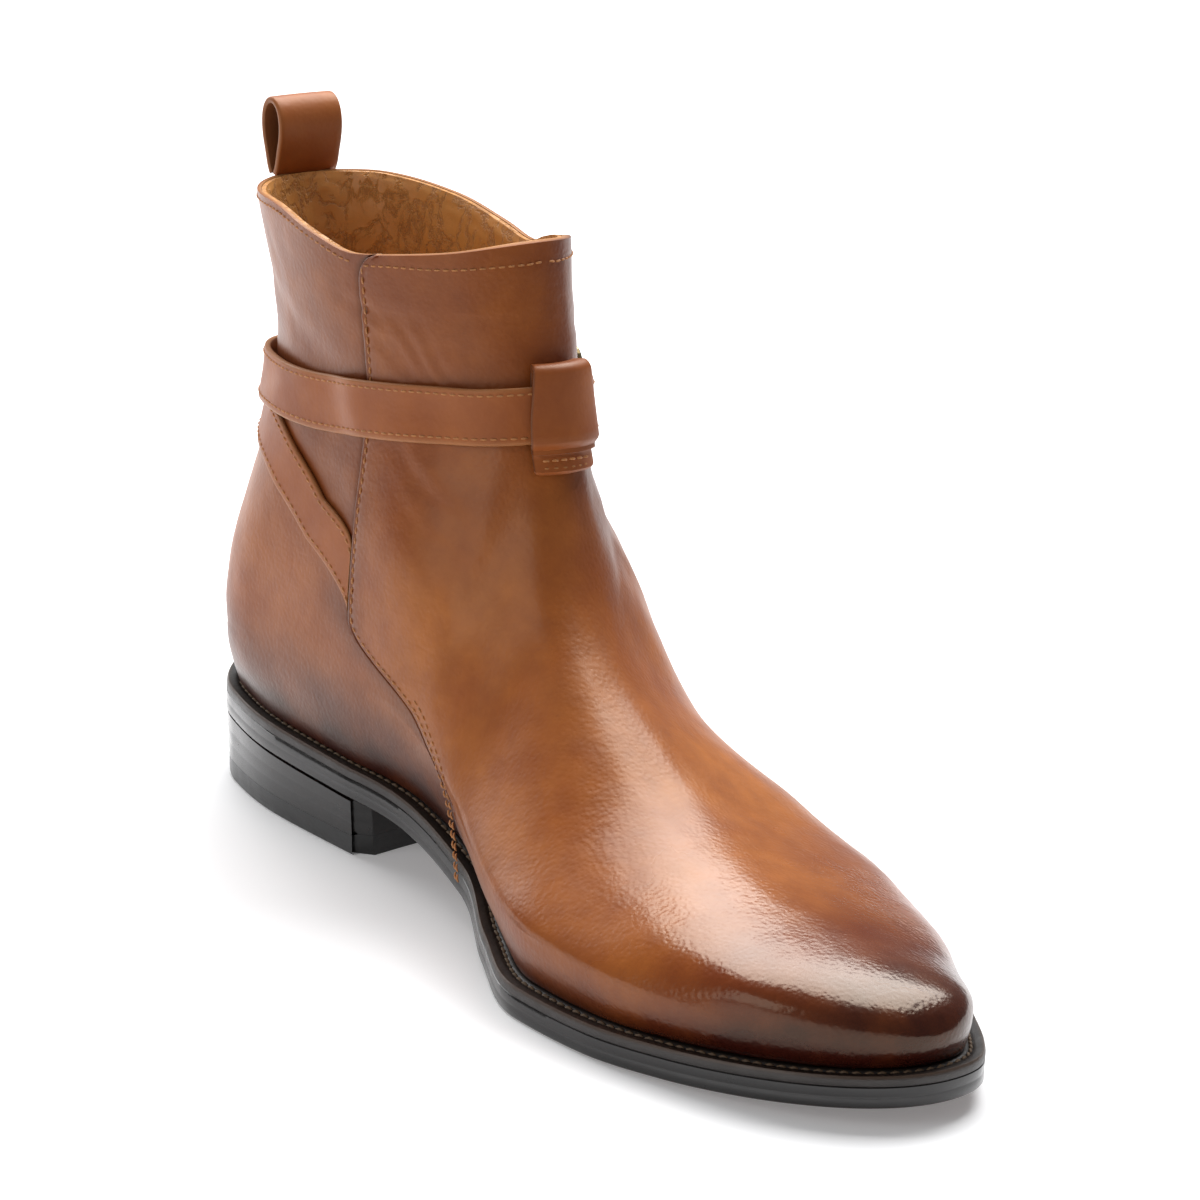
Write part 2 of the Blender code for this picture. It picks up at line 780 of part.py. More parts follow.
def strap_section(spots, thickness, clearance):
    """Corners of a strap's section, each edge seated on the shaft below it."""
    edges = []
    for turn, z, shift in spots:
        point, normal, along = shaft_frame(turn, z)
        level = shift - Vector((0.0, 0.0, shift.z))
        edges.append((point + along * level.dot(along), normal))
    inside = [point + normal * clearance for point, normal in edges]
    outside = [point + normal * (clearance + thickness) for point, normal in edges]
    return inside + outside[::-1]


def buckle_frame_axes():
    """Where the buckle sits: its centre on the shaft, forward, up and outward."""
    z = SEAT + COLLAR_RISE * BUCKLE_RISE
    point, normal, along = shaft_frame(BUCKLE_TURN, z)
    forward = along + Vector((0.0, 0.0, FRAME_TILT))
    forward = (forward - normal * forward.dot(normal)).normalized()
    up = normal.cross(forward).normalized()
    if up.z < 0.0:
        up = -up
    return point, forward, up, normal


def local(t, w, n):
    """A point beside the buckle: along the strap, across it and out from the shaft."""
    origin, forward, up, normal = buckle_frame_axes()
    return origin + forward * t + up * w + normal * n


# Heights of the pieces of the buckle above the shaft
UNDER_MID = 2.0 * GAP + UNDER_THICKNESS / 2.0
BAR_OUT = UNDER_MID + UNDER_THICKNESS / 2.0 + GAP + BAR_RADIUS
FOLD_RADIUS = BAR_RADIUS + GAP + UNDER_THICKNESS / 2.0
OVER_BAR = BAR_OUT + FOLD_RADIUS + UNDER_THICKNESS / 2.0 + GAP + STRAP_THICKNESS / 2.0
STRAP_OUT = OVER_BAR - STRAP_DROP
FRAME_OUT = STRAP_OUT + STRAP_THICKNESS / 2.0 + GAP + FRAME_DEPTH / 2.0


def flat_section(t, n, slope, width, thickness):
    """A strap's section beside the buckle, square to its slope."""
    lean = math.atan(slope)
    dt, dn = -math.sin(lean) * thickness / 2.0, math.cos(lean) * thickness / 2.0
    inside = [local(t - dt, w * width, n - dn) for w in (-0.5, 0.0, 0.5)]
    outside = [local(t + dt, w * width, n + dn) for w in (-0.5, 0.0, 0.5)]
    return inside + outside[::-1]


def build_long_strap(parts, cutters):
    def lift(turn):
        over_back = 1.0 - ramp(abs(turn), 0.36, 0.50)
        on_flap = ramp(abs((turn + 1.0) % 2.0 - 1.0), 0.50, 0.56) if turn < 0.0 else 0.0
        in_keeper = 1.0 - ramp(abs(turn + 1.0), 0.17, 0.30)
        return (
            GAP
            + (UNDER_THICKNESS + GAP) * over_back
            + (FLAP_STEP + GAP) * on_flap
            + (KEEPER_LEG + KEEPER_PLAY + GAP) * in_keeper
        )

    sections = route_sections(LONG_ROUTE, STRAP_WIDTH, STRAP_THICKNESS, lift, LONG_STEPS)
    reach = FRAME_LENGTH / 2.0
    knots = [-2.60 * reach, -1.9 * reach, -reach, -0.45 * reach, 0.1 * reach, reach, 1.35 * reach]
    end_level = STRAP_OUT - 0.5 * STRAP_DROP
    levels = [end_level, STRAP_OUT, STRAP_OUT, OVER_BAR, OVER_BAR, STRAP_OUT, end_level]
    for i in range(END_STEPS + 1):
        t = knots[-1] + (knots[0] - knots[-1]) * i / END_STEPS
        n = through(knots, levels, t)
        rise = through(knots, levels, t + SLOPE_STEP) - through(knots, levels, t - SLOPE_STEP)
        slope = rise / (2.0 * SLOPE_STEP)
        left = max(t - knots[0], 0.0) / TIP_LENGTH
        narrow = min(TIP_SHARE + (1.0 - TIP_SHARE) * left, 1.0)
        sections.append(flat_section(t, n, slope, STRAP_WIDTH * narrow, STRAP_THICKNESS))
    strap = make_object("long_strap", ribbon("long_strap", sections), parts, (0.36, 0.13, 0.045), 0.38)
    cut(strap, "prong_hole", local(0.45 * reach, 0.0, OVER_BAR), HOLE_LENGTH, HOLE_WIDTH, cutters)


def build_under_strap(parts, cutters):
    def lift(turn):
        return GAP

    half = UNDER_THICKNESS / 2.0
    ways = (-0.5, 0.0, 0.5)

    def section(inner, outer):
        inside = [local(inner[0], way * UNDER_WIDTH, inner[1]) for way in ways]
        outside = [local(outer[0], way * UNDER_WIDTH, outer[1]) for way in ways]
        return inside + outside[::-1]

    sections = route_sections(UNDER_ROUTE, UNDER_WIDTH, UNDER_THICKNESS, lift, UNDER_STEPS)
    for t in (-FOLD_RUN, -0.5 * FOLD_RUN, 0.0):
        sections.append(section((t, UNDER_MID - half), (t, UNDER_MID + half)))
    for i in range(1, FOLD_STEPS):
        turn = math.pi * i / FOLD_STEPS
        t, n = math.sin(turn), -math.cos(turn)
        inner, outer = FOLD_RADIUS + half, FOLD_RADIUS - half
        sections.append(section((t * inner, BAR_OUT + n * inner), (t * outer, BAR_OUT + n * outer)))
    for back, drop in ((0.0, 0.0), (0.4, 0.15), (1.0, 1.0)):
        t, n = -back * FOLD_RUN, BAR_OUT + FOLD_RADIUS - drop * UNDER_THICKNESS
        sections.append(section((t, n + half), (t, n - half)))
    strap = make_object("buckle_strap", ribbon("buckle_strap", sections), parts, (0.36, 0.13, 0.045), 0.38)
    cut(strap, "prong_slot", local(0.0, 0.0, BAR_OUT), SLOT_LENGTH, SLOT_WIDTH, cutters)


def cut(target, name, centre, length, width, cutters):
    """Cuts a slot of this length and width, lying along the strap at the buckle."""
    _, forward, up, _ = buckle_frame_axes()
    turn = Matrix((forward, up, forward.cross(up))).transposed().to_4x4()
    shape = bmesh.new()
    bmesh.ops.create_cube(shape, size=1.0)
    bmesh.ops.scale(shape, vec=(length, width, CUT_DEPTH), verts=shape.verts)
    bmesh.ops.transform(shape, matrix=Matrix.Translation(centre) @ turn, verts=shape.verts)
    mesh = bpy.data.meshes.new(name)
    shape.to_mesh(mesh)
    shape.free()
    cutter = bpy.data.objects.new(name, mesh)
    cutters.objects.link(cutter)
    cutter.hide_render = True
    cutter.display_type = "WIRE"
    boolean = target.modifiers.new(name, "BOOLEAN")
    boolean.object = cutter
    boolean.operation = "DIFFERENCE"


def tube(points, radius):
    """Sections of a round bar along points."""
    sections = []
    last = len(points) - 1
    for i, point in enumerate(points):
        along = (points[min(i + 1, last)] - points[max(i - 1, 0)]).normalized()
        guide = Vector((1.0, 2.0, 2.0)) if abs(along.z) > 0.9 else Vector((0.0, 0.0, 1.0))
        side = along.cross(guide).normalized()
        top = along.cross(side)
        section = []
        for k in range(BAR_SIDES):
            angle = 2.0 * math.pi * k / BAR_SIDES
            section.append(point + (side * math.cos(angle) + top * math.sin(angle)) * radius)
        sections.append(section)
    return sections


# A section of the buckle's frame: shares of its half width and half depth
Corner = namedtuple("Corner", "out deep")
FRAME_SECTION = (
    Corner(1.00, -0.5),
    Corner(1.00, 0.4),
    Corner(0.55, 1.0),
    Corner(-0.55, 1.0),
    Corner(-1.00, 0.4),
    Corner(-1.00, -0.5),
    Corner(-0.60, -1.0),
    Corner(0.60, -1.0),
)


def build_buckle(parts, cutters):
    half_bar, half_deep = FRAME_BAR / 2.0, FRAME_DEPTH / 2.0
    half_l, half_h = FRAME_LENGTH / 2.0 - half_bar, FRAME_HEIGHT / 2.0 - half_bar
    sections = []
    for quarter, (way_l, way_h) in enumerate(((1, 1), (-1, 1), (-1, -1), (1, -1))):
        for i in range(CORNER_STEPS + 1):
            angle = math.pi / 2.0 * (quarter + i / CORNER_STEPS)
            t = way_l * (half_l - FRAME_CORNER) + FRAME_CORNER * math.cos(angle)
            w = way_h * (half_h - FRAME_CORNER) + FRAME_CORNER * math.sin(angle)
            section = []
            for corner in FRAME_SECTION:
                out = half_bar * corner.out
                level = FRAME_OUT + half_deep * corner.deep
                section.append(local(t + math.cos(angle) * out, w + math.sin(angle) * out, level))
            sections.append(section)
    ring = stacked("buckle_frame", sections, False)
    frame = make_object("buckle_frame", ring, parts, (0.23, 0.17, 0.09), 0.35, 1.0)
    turn_h = half_h - BAR_TURN
    bar = [
        local(0.0, -half_h, FRAME_OUT),
        local(0.0, -half_h, BAR_OUT + BAR_BEND),
        local(0.0, -turn_h, BAR_OUT),
        local(0.0, turn_h, BAR_OUT),
        local(0.0, half_h, BAR_OUT + BAR_BEND),
        local(0.0, half_h, FRAME_OUT),
    ]
    post = bpy.data.objects.new("centre_bar", ribbon("centre_bar", tube(bar, BAR_RADIUS)))
    cutters.objects.link(post)
    post.hide_render = True
    post.display_type = "WIRE"
    join = frame.modifiers.new("centre_bar", "BOOLEAN")
    join.object = post
    join.operation = "UNION"
    radius = BAR_RADIUS + GAP + PRONG_RADIUS
    points = []
    for i in range(PRONG_STEPS):
        angle = -math.radians(60.0 + 30.0 * i)
        points.append(local(radius * math.cos(angle), 0.0, BAR_OUT + radius * math.sin(angle)))
    rest = FRAME_OUT + half_deep + GAP + PRONG_RADIUS
    start = BAR_OUT + radius
    points.append(local(0.45 * half_l, 0.0, start + 0.62 * (rest - start)))
    points.append(local(half_l - half_bar, 0.0, rest))
    points.append(local(half_l + 0.5 * half_bar, 0.0, rest))
    prong = ribbon("buckle_prong", tube(points, PRONG_RADIUS))
    make_object("buckle_prong", prong, parts, (0.55, 0.50, 0.40), 0.25, 1.0)


def front_frame(y, z):
    """The front of the flap at a distance from its middle: point and outward normal."""
    low, high = 0.70, 1.30
    for _ in range(30):
        middle = 0.5 * (low + high)
        if shaft_point(middle, z).y > y:
            low = middle
        else:
            high = middle
    point, normal, _ = shaft_frame(0.5 * (low + high), z)
    return point, normal


def keeper_section():
    """The keeper's outer and inner lines in its side view: height, and distance out from the shaft."""
    bottom, top = SEAT + KEEPER_BOTTOM, SEAT + KEEPER_TOP
    low = FLAP_STEP + 2.0 * GAP
    under = low + KEEPER_LEG
    strap_face = under + 2.0 * GAP + STRAP_THICKNESS + 2.0 * KEEPER_PLAY
    crown = strap_face + KEEPER_THICKNESS
    foot = under + KEEPER_THICKNESS
    shoulder = bottom + KEEPER_HEM
    outer = [(bottom, low), (bottom, foot)]
    for i in range(1, 5):
        outer.append((bottom + KEEPER_HEM * i / 5.0, foot + (crown - foot) * ramp(i, 0.5, 4.0)))
    for i in range(1, 5):
        outer.append((shoulder + (top - KEEPER_ROUND - shoulder) * i / 4.0, crown))
    for i in range(1, 5):
        angle = math.pi / 2.0 * i / 4.0
        z = top - KEEPER_ROUND * (1.0 - math.sin(angle))
        outer.append((z, crown - KEEPER_ROUND * (1.0 - math.cos(angle))))
    start = top - KEEPER_EDGE
    outer.append((top, low + KEEPER_EDGE))
    for i in range(5):
        outer.append((start + (bottom - start) * i / 5.0, low))
    window_bottom, window_top = bottom + 0.8 * KEEPER_HEM, top - KEEPER_THICKNESS
    middle_z, middle_n = 0.5 * (window_bottom + window_top), 0.5 * (under + strap_face)
    half_z, half_n = 0.5 * (window_top - window_bottom), 0.5 * (strap_face - under)
    inner = []
    for z, n in outer:
        dz, dn = (z - middle_z) / half_z, (n - middle_n) / half_n
        size = max(abs(dz), abs(dn))
        inner.append((middle_z + half_z * dz / size, middle_n + half_n * dn / size))
    return outer, inner


def build_keeper_loop(parts):
    """The keeper as one band: a closed loop lofted across its width."""
    outer, inner = keeper_section()
    count = len(outer)
    points, faces = [], []
    for k in range(KEEPER_COLUMNS):
        y = KEEPER_WIDTH * (k / (KEEPER_COLUMNS - 1) - 0.5)
        for line in (outer, inner):
            for z, out in line:
                point, normal = front_frame(y, z)
                points.append(point + normal * out)
    size = 2 * count
    for k in range(KEEPER_COLUMNS - 1):
        for base in (0, count):
            for i in range(count):
                n = (i + 1) % count
                a, b = k * size + base, (k + 1) * size + base
                faces.append((a + i, a + n, b + n, b + i))
    for k in (0, KEEPER_COLUMNS - 1):
        for i in range(count):
            n = (i + 1) % count
            a = k * size
            faces.append((a + i, a + n, a + count + n, a + count + i))
    keeper = mesh_from("keeper_loop", points, faces)
    make_object("keeper_loop", keeper, parts, (0.33, 0.12, 0.045), 0.38)


def build_pull_loop(parts):
    """A teardrop of leather band that stands on the back of the collar."""
    foot = Vector((BACK_XS[-1] + WALL / 2.0 - PULL_SETBACK, 0.0, BACK_ZS[-1] + GAP))
    rise = PULL_HEIGHT - PULL_THICKNESS / 2.0
    belly = PULL_BELLY * (PULL_DEPTH - PULL_THICKNESS) / 2.0
    middle = []
    for i in range(LOOP_STEPS + 1):
        u = 2.0 * math.pi * i / LOOP_STEPS
        height = 0.5 - 0.5 * math.cos(u)
        wide = math.sin(u) * max(math.sin(0.5 * u), 0.0) ** 0.9
        neck = PULL_NECK * (1.0 - ramp(height, 0.0, 0.35)) * (1 if u < math.pi else -1)
        middle.append(Vector((wide * belly + neck - PULL_LEAN * rise * height, 0.0, rise * height)))
    sections = []
    for i, point in enumerate(middle):
        along = (middle[min(i + 1, LOOP_STEPS)] - middle[max(i - 1, 0)]).normalized()
        if i in (0, LOOP_STEPS):
            along = Vector((0.0, 0.0, 1.0 if i == 0 else -1.0))
        side = Vector((along.z, 0.0, -along.x)) * PULL_THICKNESS / 2.0
        row = []
        for out in (1, -1):
            for k in range(LOOP_COLUMNS):
                share = (k / (LOOP_COLUMNS - 1) - 0.5) * out
                across = Vector((PULL_SAG * PULL_WIDTH * share**2, PULL_WIDTH * share, 0.0))
                row.append(foot + across + point + side * out)
        sections.append(row)
    make_object("pull_loop", ribbon("pull_loop", sections), parts, (0.45, 0.21, 0.08), 0.4)


def main():
    for obj in list(bpy.data.objects):
        bpy.data.objects.remove(obj, do_unlink=True)
    parts = bpy.data.collections.new("jodhpur_boot")
    cutters = bpy.data.collections.new("cutters")
    bpy.context.scene.collection.children.link(parts)
    bpy.context.scene.collection.children.link(cutters)
    cutters.hide_render = True
    build_upper(parts)
    build_sole(parts)
    build_heel(parts)
    build_long_strap(parts, cutters)
    build_under_strap(parts, cutters)
    build_buckle(parts, cutters)
    build_keeper_loop(parts)
    build_pull_loop(parts)
    origin = bpy.data.objects.new("boot_origin", None)
    parts.objects.link(origin)
    origin.location = (-HEEL_CENTRE, 0.0, 0.0)
    for collection in (parts, cutters):
        for obj in collection.objects:
            if obj is not origin:
                obj.parent = origin


main()
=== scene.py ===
"""Looks of the jodhpur boot. Lengths are in metres. Until a mesh is placed, x runs from the sole's back."""

import math
from collections import namedtuple

import bmesh
import bpy
from mathutils import Matrix, Vector, noise


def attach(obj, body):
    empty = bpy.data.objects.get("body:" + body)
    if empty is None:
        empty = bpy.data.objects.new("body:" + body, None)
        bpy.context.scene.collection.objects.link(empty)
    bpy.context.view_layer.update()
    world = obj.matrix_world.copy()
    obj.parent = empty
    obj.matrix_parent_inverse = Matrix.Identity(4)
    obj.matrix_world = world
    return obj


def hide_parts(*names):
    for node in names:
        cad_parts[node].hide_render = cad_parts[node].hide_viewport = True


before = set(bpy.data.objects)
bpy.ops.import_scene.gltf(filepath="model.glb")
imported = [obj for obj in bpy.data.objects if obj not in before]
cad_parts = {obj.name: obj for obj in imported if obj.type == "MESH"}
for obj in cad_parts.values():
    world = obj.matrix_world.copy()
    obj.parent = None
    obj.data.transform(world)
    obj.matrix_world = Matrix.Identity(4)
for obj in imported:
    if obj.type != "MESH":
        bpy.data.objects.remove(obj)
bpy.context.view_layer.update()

# Sole
SOLE_LENGTH = 0.300
BALL_WIDTH = 0.107
TOE_WIDTH = 0.074
WAIST_WIDTH = 0.072
HEEL_WIDTH = 0.071
SOLE_THICKNESS = 0.0056
WELT_THICKNESS = 0.0028
WELT_WIDTH = 0.0090
EDGE_ROUND = 0.0007
TOE_SPRING = 0.0055
TREAD_START = 0.640
SPRING_START = 0.710

# Heel
HEEL_LENGTH = 0.087
HEEL_HEIGHT = 0.0190
HEEL_SLOPE = 0.044
HEEL_TAPER = 0.0014
BREAST_SKEW = -0.10
BREAST_HOLLOW = 0.0020
LIFT_THICKNESS = 0.0055
CORNER_CUT = 0.0045

# Upper
WALL = 0.0023
FLAP_STEP = 0.0011
TOE_CLEAR = 0.0120
HEEL_INSET = 0.0032
TOE_INSET = 0.0062
TOE_RISE = 0.0202
VAMP_RISE = 0.0372
INSTEP_RISE = 0.0685
FLAP_RISE = 0.1470
COLLAR_RISE = 0.1320
SHAFT_WIDTH = 0.064
SIDE_LEVEL = 0.025
BACK_ROUND = 0.034
RIDGE_SHIFT = 0.0080

# Straps and loops
STRAP_WIDTH = 0.0145
STRAP_THICKNESS = 0.0016
UNDER_WIDTH = 0.0142
UNDER_THICKNESS = 0.0013
TIP_LENGTH = 0.0055
TIP_SHARE = 0.07
FOLD_RUN = 0.0062
KEEPER_WIDTH = 0.0136
KEEPER_THICKNESS = 0.0016
KEEPER_BOTTOM = 0.0840
KEEPER_TOP = 0.1110
KEEPER_LEG = 0.0009
KEEPER_PLAY = 0.0003
KEEPER_HEM = 0.0056
KEEPER_ROUND = 0.0024
KEEPER_EDGE = 0.0006
PULL_WIDTH = 0.0190
PULL_THICKNESS = 0.0017
PULL_HEIGHT = 0.0200
PULL_DEPTH = 0.0105
PULL_SETBACK = 0.0012
PULL_NECK = 0.00090
PULL_BELLY = 1.25
PULL_LEAN = 0.10
PULL_SAG = 0.10

# Buckle
FRAME_LENGTH = 0.0240
BAR_RADIUS = 0.0008
STRAP_DROP = 0.0010
FRAME_TILT = 0.16

GAP = 0.0003
FOOT_GAP = 1.6 * GAP

SEAT = HEEL_HEIGHT + SOLE_THICKNESS + WELT_THICKNESS
HEEL_CENTRE = HEEL_LENGTH / 2.0

Edge = namedtuple("Edge", "station across medial lateral")
SOLE_OUTLINE = (
    Edge(0.000, HEEL_WIDTH, 0.000, 0.000),
    Edge(0.025, HEEL_WIDTH, 0.250, 0.260),
    Edge(0.083, HEEL_WIDTH, 0.400, 0.430),
    Edge(0.167, HEEL_WIDTH, 0.450, 0.490),
    Edge(0.267, WAIST_WIDTH, 0.420, 0.500),
    Edge(0.367, WAIST_WIDTH, 0.380, 0.550),
    Edge(0.467, WAIST_WIDTH, 0.420, 0.650),
    Edge(0.567, BALL_WIDTH, 0.400, 0.495),
    Edge(0.667, BALL_WIDTH, 0.495, 0.505),
    Edge(0.750, BALL_WIDTH, 0.480, 0.475),
    Edge(0.833, BALL_WIDTH, 0.420, 0.410),
    Edge(0.900, TOE_WIDTH, 0.490, 0.440),
    Edge(0.950, TOE_WIDTH, 0.355, 0.320),
    Edge(0.987, TOE_WIDTH, 0.185, 0.190),
    Edge(1.000, TOE_WIDTH, 0.000, 0.000),
)

# The last's widest line along the foot, and its level above the welt
Side = namedtuple("Side", "station across medial lateral level")
WIDEST = (
    Side(0.015, HEEL_WIDTH, 0.000, 0.000, 0.68),
    Side(0.040, HEEL_WIDTH, 0.245, 0.250, 0.68),
    Side(0.100, HEEL_WIDTH, 0.395, 0.410, 0.72),
    Side(0.183, HEEL_WIDTH, 0.437, 0.472, 0.80),
    Side(0.283, WAIST_WIDTH, 0.430, 0.500, 0.96),
    Side(0.383, WAIST_WIDTH, 0.430, 0.528, 1.00),
    Side(0.483, WAIST_WIDTH, 0.493, 0.595, 0.84),
    Side(0.583, BALL_WIDTH, 0.420, 0.462, 0.72),
    Side(0.667, BALL_WIDTH, 0.467, 0.462, 0.60),
    Side(0.750, BALL_WIDTH, 0.449, 0.415, 0.52),
    Side(0.833, BALL_WIDTH, 0.388, 0.342, 0.44),
    Side(0.900, TOE_WIDTH, 0.439, 0.352, 0.38),
    Side(0.947, TOE_WIDTH, 0.304, 0.255, 0.34),
    Side(0.975, TOE_WIDTH, 0.155, 0.142, 0.32),
    Side(0.985, TOE_WIDTH, 0.000, 0.000, 0.32),
)

# The front line in the side view, from the toe up to the flap's top
Ridge = namedtuple("Ridge", "station of rise")
FRONT_LINE = (
    Ridge(0.985, SIDE_LEVEL, 0.32),
    Ridge(0.976, TOE_RISE, 0.58),
    Ridge(0.953, TOE_RISE, 0.79),
    Ridge(0.907, TOE_RISE, 1.00),
    Ridge(0.833, VAMP_RISE, 0.67),
    Ridge(0.750, VAMP_RISE, 0.81),
    Ridge(0.667, VAMP_RISE, 1.00),
    Ridge(0.593, INSTEP_RISE, 0.71),
    Ridge(0.533, INSTEP_RISE, 0.85),
    Ridge(0.490, INSTEP_RISE, 1.00),
    Ridge(0.454, FLAP_RISE, 0.59),
    Ridge(0.427, FLAP_RISE, 0.70),
    Ridge(0.414, FLAP_RISE, 0.81),
    Ridge(0.400, FLAP_RISE, 0.91),
    Ridge(0.390, FLAP_RISE, 1.00),
)

# The back line in the side view, from the heel's widest level up to the collar
Back = namedtuple("Back", "station rise")
BACK_LINE = (
    Back(0.0150, SIDE_LEVEL * 0.68 / COLLAR_RISE),
    Back(0.0115, 0.19),
    Back(0.0145, 0.28),
    Back(0.0245, 0.41),
    Back(0.0345, 0.54),
    Back(0.0395, 0.67),
    Back(0.0330, 0.83),
    Back(0.0140, 1.00),
)

# Half widths of heel and shaft by height
Girth = namedtuple("Girth", "rise medial lateral")
SHAFT_GIRTHS = (
    Girth(0.00, 0.475, 0.484),
    Girth(0.14, 0.505, 0.520),
    Girth(0.26, 0.495, 0.505),
    Girth(0.41, 0.465, 0.445),
    Girth(0.56, 0.440, 0.395),
    Girth(0.71, 0.430, 0.385),
    Girth(0.87, 0.470, 0.395),
    Girth(1.01, 0.515, 0.420),
)

# How square the sides are, and how full the crown is, by station
Form = namedtuple("Form", "station side crown")
FORMS = (
    Form(0.000, 3.00, 0.50),
    Form(0.317, 1.90, 0.15),
    Form(0.400, 1.45, -0.45),
    Form(0.500, 1.35, -0.85),
    Form(0.667, 1.40, -0.50),
    Form(0.833, 1.65, -0.10),
    Form(1.000, 2.20, 0.40),
)

# The rear edge of vamp and flap, by height above the heel seat
Seam = namedtuple("Seam", "rise medial lateral")
SEAM_LINE = (
    Seam(-0.16, 0.505, 0.515),
    Seam(0.02, 0.470, 0.490),
    Seam(0.15, 0.397, 0.420),
    Seam(0.28, 0.287, 0.306),
    Seam(0.44, 0.281, 0.300),
    Seam(0.77, 0.275, 0.298),
    Seam(1.00, 0.268, 0.292),
)

# Strap routes: turn round the shaft (0 back, 1 front, minus on the inner side)
Way = namedtuple("Way", "turn rise")
LONG_ROUTE = (
    Way(0.520, 0.355),
    Way(0.450, 0.435),
    Way(0.381, 0.500),
    Way(0.300, 0.545),
    Way(0.150, 0.588),
    Way(0.000, 0.618),
    Way(-0.250, 0.645),
    Way(-0.436, 0.664),
    Way(-0.583, 0.697),
    Way(-0.780, 0.732),
    Way(-1.000, 0.750),
    Way(-1.200, 0.732),
    Way(-1.330, 0.708),
)
UNDER_ROUTE = (
    Way(-0.510, 0.355),
    Way(-0.450, 0.435),
    Way(-0.381, 0.500),
    Way(-0.300, 0.545),
    Way(-0.150, 0.572),
    Way(0.000, 0.585),
    Way(0.250, 0.612),
    Way(0.436, 0.655),
)
ROUTE_STEP = 0.05
ROOT_RUN = 1.2
BUCKLE_TURN = 0.568
BUCKLE_RISE = 0.695

# How far the top edge lies above the line from its back to its front
Rim = namedtuple("Rim", "along medial lateral")
RIM_LINE = (
    Rim(0.00, 0.000, 0.000),
    Rim(0.12, 0.008, 0.010),
    Rim(0.33, 0.024, 0.002),
    Rim(0.52, 0.000, -0.020),
    Rim(0.65, -0.021, -0.035),
    Rim(0.77, -0.012, -0.010),
    Rim(0.90, -0.008, 0.000),
    Rim(1.00, 0.000, 0.000),
)

# Fine form of the upper and its lining
SKIN = 0.0011
RIM_GAP = 0.00012
FINE_REAR, FINE_FRONT = 40, 62
FINE_LOW, FINE_HIGH = 12, 92
RIM_ROWS, RIM_FINER = 5, 3
CORNER_ROUND = 0.0058
RING_REACH = 0.125
RING_EASE = 0.35
CREST_SINK = 0.0012
CREST_WIDTH = 0.0070
LINING_PLAY = 0.0004
LINING_DROP = 0.0002
FOLD_ACROSS, FOLD_ALONG, FOLD_DEPTH = 240.0, 95.0, 0.00050
RIPPLE_SCALE, RIPPLE_DEPTH = 420.0, 0.00030
Wave = namedtuple("Wave", "height scale")
WAVES = (
    Wave(0.00018, 55.0),
    Wave(0.00007, 170.0),
)

# Fine form of straps, loops, welt, sole and heel
LONG_STEPS, UNDER_STEPS, TIP_STEPS, FOLD_STEPS, PULL_STEPS = 150, 110, 60, 16, 60
WELT_STEPS, SOLE_STEPS, HEEL_STEPS, BREAST_STEPS = 300, 220, 60, 6
ROOT_CLEAR = 0.0005
ROOT_SKIVE = 0.45
KEEPER_PINCH = 0.16
HOLE_RADIUS = 0.0011
HOLE_SIDES = 20
HOLE_DEPTH = 0.008
HOLES_AT = (-0.95, 0.03, 1.25)
JOINT = 0.00005
WHEEL_DEPTH = 0.00022
GROOVE = 0.00007

# Reach of the neighbours from which a direction or a slope is read
SHARE_STEP = 0.004
TURN_STEP = 0.01
RISE_STEP = 0.002
NEAR_STEP = 0.0006
SLOPE_STEP = 0.0005

# Rows of stitches
FLAP_MARGIN = 0.0018
SECOND_ROW = 0.0016
STRAP_MARGIN = 0.0017
COLLAR_MARGIN = 0.0019
KEEPER_MARGIN = 0.0015
WELT_MARGIN = 0.0036
WELT_THREAD_DROP = 0.0004
THREAD_SINK = 0.0002
THREAD_SIDES = 6
Sewing = namedtuple("Sewing", "pitch length radius slant")
SEAM_SEWING = Sewing(0.0026, 0.0021, 0.00030, 0.0)
COLLAR_SEWING = Sewing(0.0024, 0.0019, 0.00030, 0.0)
KEEPER_SEWING = Sewing(0.0024, 0.0017, 0.00034, 0.0)
WELT_SEWING = Sewing(0.0030, 0.0026, 0.00045, 0.0002)
Row = namedtuple("Row", "rise lift")
KEEPER_ROWS = (
    Row(0.0013, 0.0),
    Row(0.0030, 0.00144),
)

# One stitch: how far along it, how thick, and its height in radii
Bend = namedtuple("Bend", "share size height")
THREAD_BENDS = (
    Bend(0.00, 0.25, -0.90),
    Bend(0.12, 0.85, -0.25),
    Bend(0.50, 1.00, 0.35),
    Bend(0.88, 0.85, -0.25),
    Bend(1.00, 0.25, -0.90),
)

# The rounded side edge of the keeper
Round = namedtuple("Round", "across shrink")
KEEPER_SIDE = (
    Round(-0.500, 0.30),
    Round(-0.492, 0.12),
    Round(-0.470, 0.03),
    Round(-0.440, 0.00),
)

